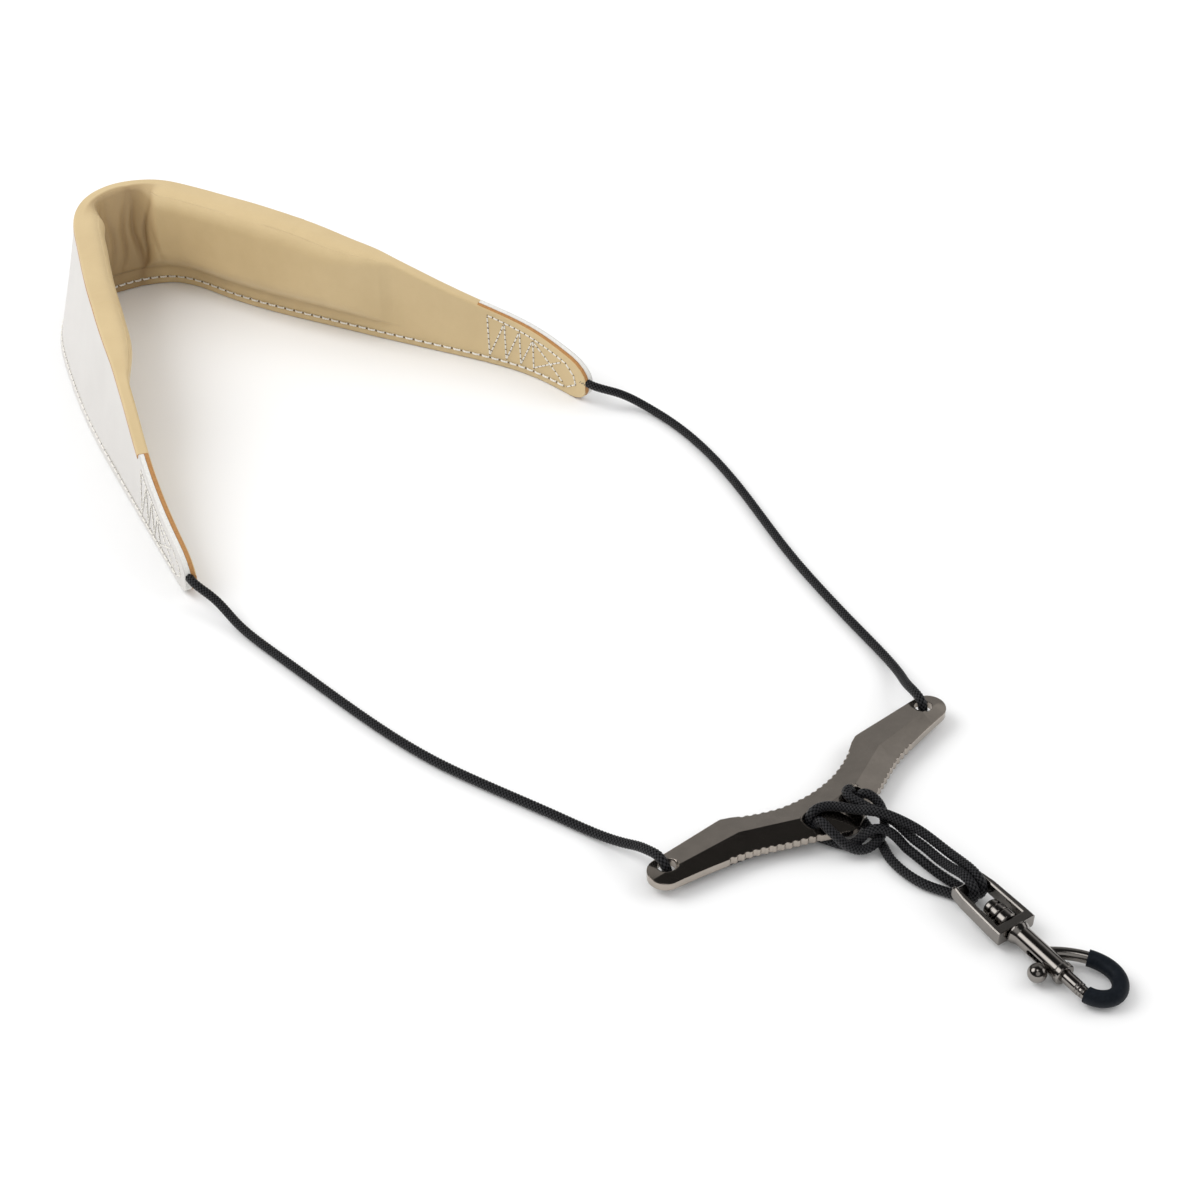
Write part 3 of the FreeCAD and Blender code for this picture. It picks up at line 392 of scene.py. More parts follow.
def spring_wire():
    m, nodes, links, shader = material("spring_wire")
    where = object_coords(nodes)
    marks = noise(nodes, links, 2500, 2, 0.6, where)
    drawn, bright = (0.42, 0.42, 0.43), (0.6, 0.6, 0.61)
    colour = ramp(nodes, links, marks.outputs["Fac"], [(0.3, drawn), (0.7, bright)])
    links.new(colour, shader.inputs["Base Color"])
    shader.inputs["Metallic"].default_value = 1.0
    shader.inputs["Roughness"].default_value = 0.3
    return m


WHITE = leather("white_leather", (0.64, 0.62, 0.595), (0.60, 0.58, 0.555), 0.46, 0.25)
BEIGE = leather("beige_leather", (0.615, 0.475, 0.265), (0.565, 0.43, 0.235), 0.42, 0.35, True)
WHITE_EDGE = cut_edge("white_cut_edge", (0.78, 0.77, 0.74), (0.62, 0.61, 0.58))
TAN_EDGE = cut_edge("tan_cut_edge", (0.50, 0.26, 0.09), (0.33, 0.15, 0.05))
THREAD = thread_material()
# Painted shade: dark discs at the needle holes stand in for the shade inside each hole, paler on the
# white outside.
HOLE_SHADE = cut_edge("needle_hole", (0.20, 0.13, 0.06), (0.11, 0.07, 0.03))
PALE_HOLE_SHADE = cut_edge("needle_hole_pale", (0.46, 0.44, 0.42), (0.34, 0.32, 0.30))
BRAID = cord_material()
METAL = gunmetal("black_nickel", (0.45, 0.40, 0.35), 0.10, 0.0005)
HOOK_METAL = gunmetal("black_nickel_cast", (0.29, 0.27, 0.25), 0.10, 0.0004)
RUBBER = rubber()
FOAM = foam()
WIRE = spring_wire()


# ------------------------------------------------------------------ neck pad

BOTTOM_EDGE = [
    (-95.4, 216.5), (-90.8, 235), (-83.5, 264), (-75, 298), (-63.5, 338), (-52, 369),
    (-40, 393), (-26, 406), (-8, 409.5), (8, 406.5), (22, 398), (32, 374), (44.5, 344),
    (58, 317), (71, 292), (83, 269), (91.5, 248), (96.0, 216.5),
]
TOP_EDGE = [
    (-95.4, 216.5), (-90.6, 235), (-80.5, 262), (-69.5, 287), (-57.5, 321), (-43.5, 357),
    (-30, 386), (-19, 404.5), (-8, 411.5), (8, 411.5), (19, 404.5), (30, 386), (43, 357),
    (57, 322), (70, 289), (82, 264), (91, 245), (96.0, 216.5),
]
OUTER_SKIN = 2.5
INNER_SKIN = 2.0
GLUE = 0.05
PAD_TALL = 46.0
WRAP_START = 54.3
LOW_CURVE, LOW_LONG = smooth_curve(BOTTOM_EDGE, 3000)
HIGH_CURVE, HIGH_LONG = smooth_curve(TOP_EDGE, 3000)
FLANGE_TALL = 8.0
FOAM_THICK = 8.0
FOAM_START = 92.0
FOAM_RAMP = 30.0
FOLD_FLAT = 12.0
FOLD_RAMP = 15.0
TIP_SQUEEZE = 5.25
# Tables of (distances from a tab's tip, values): share of the squeeze, and the pad's height.
TIP_SHAPE = ([0, 1, 3, 6, 9], [1.0, 0.62, 0.3, 0.08, 0.0])
TOP_SHAPE = ([0, 9, 28, 50, 70, 100, 135], [15.5, 17.5, 22, 27, 32, 40, 44])


def smooth_table(where, table):
    """Table reading with its corners eased."""
    around = np.array([-4.0, -2.0, 0.0, 2.0, 4.0])
    where = np.asarray(where)[..., None]
    return np.interp(np.clip(where + around * (where > 20), 0, None), *table).mean(-1)


class Pad:
    """Slices of the pad at distances from the left tab's tip."""

    def __init__(self, distance):
        self.distance = np.asarray(distance, float)
        share = self.distance / LOW_LONG
        self.low = at_distance(LOW_CURVE, LOW_LONG, self.distance)
        self.high = at_distance(HIGH_CURVE, HIGH_LONG, share * HIGH_LONG)
        step = 0.6
        ahead = at_distance(HIGH_CURVE, HIGH_LONG, share * HIGH_LONG + step)
        back = at_distance(HIGH_CURVE, HIGH_LONG, share * HIGH_LONG - step)
        along = (ahead - back) / np.linalg.norm(ahead - back, axis=-1)[..., None]
        self.inward = np.stack([along[..., 1], -along[..., 0]], -1)
        tip = np.minimum(self.distance, LOW_LONG - self.distance)
        self.tip = tip
        squeeze = TIP_SQUEEZE * np.interp(tip, *TIP_SHAPE)
        top = smooth_table(tip, TOP_SHAPE)
        last, shoulder = TOP_SHAPE[0][-1], TOP_SHAPE[1][-1]
        rise = np.clip((tip - last) / (LOW_LONG / 2 - last), 0, 1)
        top = np.where(tip > last, mix(shoulder, PAD_TALL, np.sin(rise * math.pi / 2)), top)
        self.z_low = squeeze
        self.z_high = top - squeeze
        fill = np.clip((tip - FOAM_START) / FOAM_RAMP, 0, 1)
        spread = np.clip((LOW_LONG / 2 - tip - FOLD_FLAT) / FOLD_RAMP, 0, 1)
        self.pinch = 1 - spread * spread * (3 - 2 * spread)
        loft = np.minimum(np.sin(fill * math.pi / 2), 1 - self.pinch)
        begins = np.clip((tip - FOAM_START + 4) / 8, 0, 1)
        self.foam = FOAM_THICK * (0.1 + 0.9 * loft) * begins
        self.fold = self.z_low + np.minimum(FLANGE_TALL, 0.35 * (self.z_high - self.z_low))

    def at(self, u, z):
        """Positions for depths u and heights z; both (slices, points)."""
        lean = (z / PAD_TALL)[..., None]
        plan = self.low[:, None] + (self.high - self.low)[:, None] * lean
        plan = plan + self.inward[:, None] * u[..., None]
        return np.concatenate([plan, z[..., None]], -1)


def rounded_section(corners, radii, counts):
    """Closed slices from corners (slices, corners, 2), rounded, with counts points per side."""
    corners = np.asarray(corners, float)
    total = corners.shape[1]
    points = []
    sides = []
    for i in range(total):
        here = corners[:, i]
        before = here - corners[:, i - 1]
        after = corners[:, (i + 1) % total] - here
        long_before = np.linalg.norm(before, axis=1)
        long_after = np.linalg.norm(after, axis=1)
        r = np.minimum(radii[i], 0.45 * np.minimum(long_before, long_after))[:, None]
        start = here - before / long_before[:, None] * r
        end = here + after / long_after[:, None] * r
        for t in np.linspace(0, 1, 6):
            points.append(start * (1 - t) ** 2 + here * 2 * t * (1 - t) + end * t ** 2)
            sides.append(i)
        following = corners[:, (i + 1) % total]
        long_next = np.linalg.norm(corners[:, (i + 2) % total] - following, axis=1)
        r_next = np.minimum(radii[(i + 1) % total], 0.45 * np.minimum(long_after, long_next))
        stop = following - after / long_after[:, None] * r_next[:, None]
        for k in range(1, counts[i] + 1):
            points.append(mix(end, stop, k / (counts[i] + 1)))
            sides.append(i)
    return np.stack(points, 1), np.array(sides)


def pad_distances():
    tips = np.array([0, 0.5, 1, 2, 3, 4.5, 6, 7.5, 9])
    steps = np.concatenate([tips, np.linspace(10, LOW_LONG - 10, 620), (LOW_LONG - tips)[::-1]])
    around = WRAP_START
    extra = np.array([around - 0.01, around + 0.15, around + 0.3])
    return np.unique(np.concatenate([steps, extra, LOW_LONG - extra]))


def close_ends(faces, rows, cols):
    """The quads of a tube with a cap at each end."""
    first = list(range(cols))[::-1]
    last = [(rows - 1) * cols + c for c in range(cols)]
    return [list(f) for f in faces] + [first, last]


SEAM_UP = 3.0
SEAM_WIDE = 0.9
SEAM_DEEP = 0.28


def seam_groove(pad, z):
    """1 along the edge row of stitches, falling to 0 beside it."""
    beside = (z - pad.z_low[:, None] - SEAM_UP) / SEAM_WIDE
    return np.exp(-beside ** 2) * (pad.tip[:, None] > 11)


def make_outer_leather():
    pad = Pad(pad_distances())
    top = pad.z_high - np.where(pad.tip > WRAP_START - 0.1, INNER_SKIN + GLUE, 0.0)
    skin = np.full_like(top, OUTER_SKIN)
    zero = np.zeros_like(top)
    corners = np.stack([
        np.stack([zero, top], 1), np.stack([zero, pad.z_low], 1),
        np.stack([skin, pad.z_low], 1), np.stack([skin, top], 1),
    ], 1)
    section, sides = rounded_section(corners, [0.7, 0.7, 0.3, 0.3], [40, 3, 12, 3])
    u, z = section[..., 0], section[..., 1]
    d = pad.distance[:, None]
    face = (sides == 0)[None, :] & (u < 0.6)
    swell = 0.22 * bump_noise(d * 0.045 + z * 0.03, 3.0)
    swell = swell + 0.12 * bump_noise(d * 0.16 - z * 0.07, 8.0)
    u = u + np.where(face, SEAM_DEEP * seam_groove(pad, z) + 0.2 + swell * 0.6, 0)
    verts = pad.at(u, z).reshape(-1, 3)
    rows, cols = u.shape
    faces = close_ends(grid_faces(rows, cols, True), rows, cols)
    edge = np.tile(np.isin(sides, [1, 3]), rows - 1)
    index = np.concatenate([edge.astype(int), [1, 1]])
    thing = add_mesh("outer_leather_skin", verts, faces, [WHITE, WHITE_EDGE], index)
    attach(thing, "neck_pad")
    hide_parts("outer_leather")


# Creases inside the fold at the back of the neck: distance from the middle, slant, width, depth.
CREASES = [
    (-30, 0.25, 3.0, 0.4), (-20, -0.15, 2.4, 0.8), (-11, 0.10, 1.8, 1.0), (-4, -0.12, 1.5, 0.8),
    (4, 0.10, 1.6, 1.1), (11, -0.14, 1.7, 1.6), (17, 0.16, 1.3, 2.1), (23, -0.22, 2.4, 0.8),
    (38, -0.12, 3.0, 0.3),
]


def crease_depth(middle, z):
    """How far the creases sink into the inner leather."""
    dent = np.zeros_like(z)
    for where, slant, width, depth in CREASES:
        line = middle - where - slant * (z - 25) - 1.2 * np.sin(z * 0.23 + where)
        low = np.clip((z - 4) / 42, 0, 1)
        reach = 0.35 + 0.65 * np.sin(low * math.pi * 0.85 + 0.4) ** 2
        dent += depth * np.exp(-np.abs(line / width) ** 1.6) * reach
    return dent


def inner_section(pad, covers):
    """Rounded slices of the inner leather, and the side that each of their points is on."""
    near = np.full_like(pad.tip, OUTER_SKIN + GLUE)
    inner = near + INNER_SKIN
    far = inner + pad.foam
    bevel = 0.45 * pad.foam + 0.4 * INNER_SKIN
    edge = np.where(covers, 0.0, near)
    lip = pad.z_high - np.where(covers, INNER_SKIN, 0.5 * INNER_SKIN)
    back = pad.z_high - INNER_SKIN - np.where(covers, 0.0, 0.2)
    corners = [
        (near, pad.z_low), (inner, pad.z_low), (inner, pad.fold),
        (far, pad.fold + 0.3 + 0.9 * pad.foam), (far, pad.z_high - bevel),
        (far - bevel, pad.z_high), (edge, pad.z_high), (edge, lip), (near, back),
    ]
    corners = np.stack([np.stack(corner, 1) for corner in corners], 1)
    radii = [0.2, 0.5, 2.6, 3.6, 3.2, 2.8, 0.9, 0.3, 0.1]
    return rounded_section(corners, radii, [2, 8, 8, 26, 8, 8, 2, 2, 6])


def make_inner_leather():
    pad = Pad(pad_distances())
    covers = pad.tip > WRAP_START + 0.1
    section, sides = inner_section(pad, covers)
    u, z = section[..., 0], section[..., 1]
    d = pad.distance[:, None]
    middle = d - LOW_LONG / 2
    face = np.isin(sides, [1, 2, 3, 4, 5])[None, :] * np.ones_like(u)
    padded = face * np.clip(pad.foam[:, None] / FOAM_THICK, 0, 1)
    belly = np.clip((z - pad.fold[:, None]) / (pad.z_high - pad.fold)[:, None], 0, 1)
    belly = np.sin(belly * math.pi) ** 0.7
    dent = crease_depth(middle, z)
    soft = 0.5 * bump_noise(d * 0.05 + z * 0.02, 5.0) + 0.25 * bump_noise(d * 0.13 - z * 0.09, 1.7)
    at_fold = pad.pinch[:, None] * np.clip((pad.tip[:, None] - 150) / 20, 0, 1)
    pinch = face * at_fold
    gather = np.maximum(padded, 0.95 * pinch)
    u = u + pinch * 1.9 * belly - gather * dent * np.clip(belly + 0.2, 0, 1)
    u = u - padded * 0.35 * soft - SEAM_DEEP * seam_groove(pad, z) * (sides == 1)[None, :]
    u = u + padded * 0.7 * belly * np.exp(-(middle / 110) ** 4) * (1 - pinch)
    lid = (np.isin(sides, [5, 6]))[None, :] * covers[:, None]
    z = z - lid * (0.18 * (1 + bump_noise(d * 0.11, 2.2)) + 0.3 * dent * (u > 2.5))
    verts = pad.at(u, z).reshape(-1, 3)
    rows, cols = u.shape
    faces = close_ends(grid_faces(rows, cols, True), rows, cols)
    raw_bottom = np.tile(np.isin(sides, [0]), rows - 1)
    raw_top = np.isin(sides, [5, 6, 7])[None, :] & ~covers[:-1, None]
    outermost = (sides == 6)[None, :] & (u[:-1] < 0.3)
    raw_lip = outermost & (z[:-1] < pad.z_high[:-1, None] - 0.9)
    raw = raw_bottom | raw_top.ravel() | raw_lip.ravel()
    index = np.concatenate([raw.astype(int), [1, 1]])
    thing = add_mesh("inner_leather_skin", verts, faces, [BEIGE, TAN_EDGE], index)
    # Painted shade: darkens the inner leather's colour deep in the fold at the back of the neck, in its
    # creases, and in a band along the padding's underside where it meets the flange.
    inside = np.clip((u - 3.2) / 1.2, 0, 1)
    shade = 1 - inside * (0.42 * at_fold + 0.12 * np.clip(dent, 0, 2))
    painted_shade_under_fold = np.exp(-((z - pad.fold[:, None] - 0.5) / 1.6) ** 2) * padded
    set_shade(thing, np.clip(shade - 0.16 * painted_shade_under_fold, 0.3, 1))
    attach(thing, "neck_pad")
    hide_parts("inner_leather")


# ------------------------------------------------------------------ stitching

STITCH_INSET = 0.11
STITCH_RINGS = 15
STITCH_SIDES = 10
HOLE_SIDES = 8
HOLE_R = 0.42


def stitch_thread(start, end, outside, thick):
    """Rings of one twisted stitch whose ends dip into the leather."""
    t = np.linspace(0, 1, STITCH_RINGS)
    theta = np.linspace(0, 2 * math.pi, STITCH_SIDES, endpoint=False)
    reach = STITCH_INSET + (1 - 2 * STITCH_INSET) * t
    d = mix(start[0], end[0], reach)
    z = mix(start[1], end[1], reach)
    arch = np.clip(1 - np.abs(2 * t - 1) ** 5, 0, 1)
    sunk = -0.55 + 0.72 * arch
    u = 0.2 - sunk if outside else OUTER_SKIN + INNER_SKIN + GLUE + sunk
    path = Pad(d).at(u[:, None], z[:, None])[:, 0]
    tangent, side, up = frames_along(path)
    twist = np.cos(2 * (theta[None, :] - 2 * math.pi * 1.6 * t[:, None]))
    radius = (thick * (1 + 0.16 * twist))[..., None]
    theta = theta[None, :, None]
    return path[:, None] + radius * (side[:, None] * np.cos(theta) + up[:, None] * np.sin(theta))


def needle_hole(start, end, where, outside):
    """Dark disc at the hole that a stitch dips into, just clear of the leather's face; its colour is
    painted shade of the hole's recess.
    """
    theta = np.linspace(0, 2 * math.pi, HOLE_SIDES, endpoint=False)
    depth = 0.18 if outside else OUTER_SKIN + INNER_SKIN + 0.07
    z = mix(start[1], end[1], where) + HOLE_R * np.sin(theta)
    d = mix(start[0], end[0], where) + HOLE_R * np.cos(theta)
    return Pad(d).at(np.full((HOLE_SIDES, 1), depth), z[:, None])[:, 0]


def lay_stitches(name, lines, outside, replaces, thick=0.36):
    """Twisted-thread stitches along (distance, height) lines on one face of the tab or flange."""
    verts, faces, index = [], [], []
    thread = grid_faces(STITCH_RINGS, STITCH_SIDES, True)
    thread = [list(face) for face in close_ends(thread, STITCH_RINGS, STITCH_SIDES)]
    for line in lines:
        for start, end in zip(line, line[1:]):
            base = len(verts)
            verts.extend(stitch_thread(start, end, outside, thick).reshape(-1, 3))
            faces.extend([[base + corner for corner in face] for face in thread])
            index.extend([0] * len(thread))
            for where in (0.07, 0.93):
                base = len(verts)
                verts.extend(needle_hole(start, end, where, outside))
                faces.append([base + k for k in range(HOLE_SIDES)])
                index.append(1)
    thing = add_mesh(name, verts, faces, [THREAD, PALE_HOLE_SHADE if outside else HOLE_SHADE], index)
    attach(thing, "neck_pad")
    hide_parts(replaces)


def spaced(start, end, pitch):
    """Even (distance, height) spots about one pitch apart."""
    count = max(1, round(math.dist(start, end) / pitch))
    shares = [i / count for i in range(count + 1)]
    return [(mix(start[0], end[0], s), mix(start[1], end[1], s)) for s in shares]


EDGE_PITCH = 4.2
TAB_PITCH = 2.5
SEAM_START = 12.0


def tab_pattern(flip):
    """A row along the tab's top and round its tip, uprights joined by slants, and a cross."""
    lines = [((50, 24.0), (11, 14.4)), ((11, 14.4), (6.6, 10.6)), ((50, 4.4), (50, 23.0))]
    lines += [((6.6, 10.6), (5.4, 6.8)), ((5.4, 6.8), (10.6, 3.4))]
    uprights = [(50, 24.0), (42.5, 21.6), (35.5, 19.8), (28.8, 18.0)]
    for (foot, start), (top, peak) in zip(uprights, uprights[1:]):
        lines.append(((foot, 4.4), (top + 0.6, peak - 1.0)))
        lines.append(((top, 4.4), (top, peak - 0.4)))
    lines += [((28.4, 17.0), (13, 4.8)), ((28.4, 5.0), (14, 13.4))]
    return [[(flip(d), z) for d, z in spaced(a, b, TAB_PITCH)] for a, b in lines]


def make_stitching():
    edge = spaced((SEAM_START, SEAM_UP), (LOW_LONG - SEAM_START, SEAM_UP), EDGE_PITCH)
    lay_stitches("edge_stitches_outside", [edge], True, "edge_stitching", 0.3)
    lay_stitches("edge_stitches_inside", [edge], False, "edge_stitching")
    for side, flip in (("left", lambda d: d), ("right", lambda d: LOW_LONG - d)):
        for place, outside in (("outside", True), ("inside", False)):
            name = "tab_stitches_%s_%s" % (side, place)
            thick = 0.23 if outside else 0.27
            lay_stitches(name, tab_pattern(flip), outside, "tab_stitching_" + side, thick)


# ------------------------------------------------------------------ cord

LEFT_NECK = [
    (-91.6, 205, 6.2), (-90.9, 192, 2.8), (-90.2, 178, 1.7), (-89.1, 164, 1.62),
    (-85.9, 123.8, 1.62), (-80.4, 88.4, 1.62), (-75.8, 72.2, 1.62), (-66.2, 42, 1.62),
    (-61.9, 27, 2.2), (-59.6, 17.5, 4.4), (-58.7, 12.2, 6.4),
]
LEFT_FRONT = [
    (-8.4, -14.6, 9.5), (-5.6, -15.0, 10.2), (-1.4, -17.6, 10.1), (2.4, -23, 10.3),
    (6.4, -29.6, 11.4), (10.2, -36.4, 10.2), (12.3, -41.0, 8.8),
]
LEFT_LOOP = [
    (13.4, -46.5, 7.7), (13.6, -54.2, 7.2), (12.7, -62, 8.4), (11.75, -67.6, 8.7),
    (11.35, -70.2, 7.5), (11.1, -71.05, 5.3), (10.8, -70.1, 2.85), (10.2, -67.4, 1.9),
    (9.2, -61, 1.62), (8.2, -53.6, 2.2), (7.9, -45, 3.0), (7.7, -41.0, 3.6),
]
KNOT_IN = [
    (7.2, -38.0, 5.3), (5.4, -34.8, 7.6), (3.0, -32.4, 8.2), (-0.2, -30.4, 6.2),
    (-2.6, -29.0, 3.2), (-4.4, -26.9, 1.7), (-7.6, -21.2, 1.62), (-9.05, -18.1, 2.3),
]
KNOT_FRONT = [
    (-9.4, -18.9, 9.3), (-9.4, -22.6, 9.2), (-8.6, -26.6, 7.3), (-6.4, -30.4, 4.4),
    (-2.6, -33.0, 3.1), (1.8, -33.8, 4.2), (5.9, -32.5, 4.95), (9.9, -29.4, 5.1),
    (12.0, -25.6, 7.0), (11.8, -21.6, 9.1), (10.4, -18.8, 9.3),
]
KNOT_OUT = [
    (9.0, -18.3, 2.4), (7.9, -21.4, 1.62), (5.9, -28, 1.62), (4.7, -33.2, 1.62),
    (2.6, -38.0, 1.62), (1.6, -41.0, 1.62),
]
RIGHT_LOOP = [
    (1.1, -44, 1.62), (1.0, -50.2, 1.62), (2.4, -57, 1.62), (4.6, -62, 1.62),
    (6.4, -67.3, 1.8), (7.0, -70.2, 2.8), (7.4, -71.1, 5.3), (7.7, -70.3, 7.5),
    (8.2, -67.6, 8.7), (9.4, -60, 7.2), (10.5, -52, 5.4), (11.2, -45, 5.0),
    (11.2, -41.0, 5.0),
]
RIGHT_FRONT = [
    (11.0, -37, 6.0), (9.9, -32.6, 8.0), (8.2, -28, 8.9), (6.3, -23, 9.8),
    (5.2, -18.2, 10.2), (6.1, -15.4, 10.2), (8.2, -14.5, 9.5),
]
RIGHT_NECK = [
    (62.4, 12.2, 6.4), (65.4, 17.4, 4.6), (70.6, 30, 2.2), (75.2, 50, 1.62),
    (80, 71.7, 1.62), (85.1, 91.6, 1.62), (91.3, 111.3, 1.62), (99.2, 135.5, 1.62),
    (106.0, 164, 1.62), (107.8, 186, 1.62), (106.6, 196, 2.4), (100.4, 206.5, 6.4),
]
CORD_IN = 2.35
SWING_Y, CORD_UP = joint_place("cord_swing")[1:]


def tab_point(side, depth):
    d = depth if side < 0 else LOW_LONG - depth
    pad = Pad(np.array([d]))
    return pad.at(np.array([[CORD_IN]]), np.array([[CORD_UP]]))[0, 0]


def swing_point(side):
    tip = tab_point(side, 0)
    direction = tip - tab_point(side, 11)
    spot = tip + direction * ((SWING_Y - tip[1]) / direction[1])
    return np.array([spot[0], SWING_Y, CORD_UP])


def behind_bar(side, lead):
    """From the front of a tip hole, behind the bar, to the front of a middle hole."""
    tip, hole = 58.0 * side, 9.3 * side
    pass_y, low = -14.43, 1.63
    down = [(tip + 0.4 * side, 1.2, 7.6), (tip, 0.0, 5.2), (tip - 0.6 * side, -0.6, 2.9)]
    run = [(mix(tip, hole, s), mix(-2.6, pass_y, s), low) for s in (0.12, 0.3, 0.5, 0.7, 0.88)]
    rise = [(hole + 0.35 * side, pass_y, 2.6), (hole, pass_y, 4.6), (hole, pass_y, 7.0)]
    return lead + down + run + rise


def second_pass(side):
    """The knot's own pass through a middle hole, from back to front."""
    return [(9.3 * side, -17.57, 4.4), (9.3 * side, -17.67, 7.0)]


def whole_cord():
    """The one cord from inside the left tab to inside the right tab, with named marks."""
    left_behind = behind_bar(-1, [(-58.5, 7.2, 8.0), (-58.3, 3.6, 8.4)])
    right_behind = behind_bar(1, [(60.2, 7.2, 8.0), (59.0, 3.6, 8.4)])
    tuck_left = [tuple(tab_point(-1, k)) for k in (35, 20.4, 8.5)] + [tuple(swing_point(-1))]
    tuck_right = [tuple(swing_point(1))] + [tuple(tab_point(1, k)) for k in (8.5, 20.4, 35)]
    stretches = [
        ("tuck_left", tuck_left), ("neck_left", LEFT_NECK), ("bar_left", left_behind),
        ("strand_left", LEFT_FRONT + LEFT_LOOP + KNOT_IN[:3]),
        ("knot", KNOT_IN[3:] + second_pass(-1) + KNOT_FRONT + second_pass(1)[::-1] + KNOT_OUT[:3]),
        ("strand_right", KNOT_OUT[3:] + RIGHT_LOOP + RIGHT_FRONT),
        ("bar_right", right_behind[::-1]), ("neck_right", RIGHT_NECK), ("tuck_right", tuck_right),
    ]
    points = [p for name, stretch in stretches for p in stretch]
    path, total = smooth_curve(points, 7200)
    marks = {}
    for name, stretch in stretches:
        last = np.array(stretch[-1])
        marks[name] = int(np.argmin(np.linalg.norm(path - last, axis=1)))
    return path, total, marks


CORD_R = 1.5
AROUND = 48
STRANDS = 7
CELL = 1.25


def braid_height(angle, along):
    """Height of a two-over-two braid at an angle round the cord and a distance along it."""
    a = STRANDS * angle / (2 * math.pi) + along / CELL
    b = STRANDS * angle / (2 * math.pi) - along / CELL
    ia, ib = np.floor(a), np.floor(b)
    fa, fb = a - ia - 0.5, b - ib - 0.5
    over = ((ia + ib) % 2) == 0
    across = np.where(over, fa, fb)
    lengthwise = np.where(over, fb, fa)
    crown = np.sqrt(np.clip(1 - (across / 0.56) ** 2, 0, 1))
    return crown * (0.45 + 0.55 * np.cos(math.pi * lengthwise * 0.94))


def braided(name, path, total, first, last, node):
    """A length of braided cord between two samples of the course."""
    part = path[first:last + 1]
    along = np.linspace(first, last, last - first + 1) / (len(path) - 1) * total
    tangent, side, up = frames_along(path)
    side, up = side[first:last + 1], up[first:last + 1]
    theta = np.linspace(0, 2 * math.pi, AROUND, endpoint=False)
    height = braid_height(theta[None, :], along[:, None])
    radius = CORD_R - 0.22 + 0.42 * height
    theta = theta[None, :, None]
    ring = side[:, None] * np.cos(theta) + up[:, None] * np.sin(theta)
    ring = part[:, None] + radius[..., None] * ring
    rows = len(part)
    faces = close_ends(grid_faces(rows, AROUND, True), rows, AROUND)
    thing = add_mesh(name, ring.reshape(-1, 3), faces, [BRAID])
    # The braid's height, which the braid material turns into painted shade in the hollows and a painted
    # highlight on the crowns.
    set_shade(thing, np.clip(0.08 + 1.1 * height, 0, 1))
    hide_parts(node)
    return thing


EXIT_Y = 190.0


def make_cords():
    """The cord's pieces, each riding on the bar or, when listed with a (body, body, start, end) bend that
    the code does not use, left fixed in place.
    """
    path, total, marks = whole_cord()
    y = path[:, 1]
    ends = list(marks.values())
    left_out = int(np.argmin(np.abs(y[:ends[1]] - EXIT_Y)))
    right_out = ends[6] + int(np.argmin(np.abs(y[ends[6]:] - EXIT_Y)))
    at_tab = ("neck_pad", "neck_cords", 214.5, 196)
    at_neck = ("neck_cords", "bar", 180, 14)
    at_hook = ("bar", "hook_cords", -33, -64)
    pieces = [
        ("cord_left_exit", 0, left_out, "cord_end_left", at_tab),
        ("cord_left_neck", left_out, ends[1], "neck_cord_left", at_neck),
        ("cord_left_bar", ends[1], ends[2], "bar_cord_left", None),
        ("cord_left_strand", ends[2], ends[3], "hook_loop_left", at_hook),
        ("cord_knot", ends[3], ends[4], "knot_cord", None),
        ("cord_right_strand", ends[4], ends[5], "hook_loop_right", at_hook),
        ("cord_right_bar", ends[5], ends[6], "bar_cord_right", None),
        ("cord_right_neck", ends[6], right_out, "neck_cord_right", at_neck),
        ("cord_right_exit", right_out, len(path) - 1, "cord_end_right", at_tab),
    ]
    for name, first, last, node, bend in pieces:
        thing = braided(name, path, total, first, last, node)
        if bend is None:
            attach(thing, "bar")
        else:
            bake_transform(thing)


# ------------------------------------------------------------------ bolt spring

HOOK_BASE = joint_place("yoke_swing")
HOOK_AXIS = -np.array(JOINTS["bolt_slide"]["axis"])


def make_spring():
    """The bolt's spring as its own coil, riding on the hook at one fixed length."""
    turns, sides = 7, 10
    wire, mean = 0.2, 1.8
    start, end = 26.35, 35.95
    t = np.linspace(0, 1, turns * 28)
    across = np.cross(HOOK_AXIS, [0, 0, 1.0])
    across /= np.linalg.norm(across)
    upward = np.cross(across, HOOK_AXIS)
    angle = 2 * math.pi * turns * t[:, None]
    path = HOOK_BASE + HOOK_AXIS * mix(start, end, t)[:, None]
    path = path + mean * (across * np.cos(angle) + upward * np.sin(angle))
    tangent, side, up = frames_along(path)
    theta = np.linspace(0, 2 * math.pi, sides, endpoint=False)[None, :, None]
    ring = path[:, None] + wire * (side[:, None] * np.cos(theta) + up[:, None] * np.sin(theta))
    faces = close_ends(grid_faces(len(t), sides, True), len(t), sides)
    thing = add_mesh("bolt_spring_coil", ring.reshape(-1, 3), faces, [WIRE])
    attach(thing, "hook")
    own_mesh(thing)
    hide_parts("bolt_spring")


# ------------------------------------------------------------------ CAD nodes' finishes

def paint(node, finish):
    thing = frame["nodes"][node]
    thing.data.materials.clear()
    thing.data.materials.append(finish)


make_outer_leather()
make_inner_leather()
make_stitching()
make_cords()
make_spring()
paint("foam_core", FOAM)
paint("y_bar", METAL)
for node in ("yoke", "swivel_post", "swivel_washer", "hook_body", "gate_bolt", "thumb_knob"):
    paint(node, HOOK_METAL)
paint("rubber_sleeve", RUBBER)


# ------------------------------------------------------------------ stage

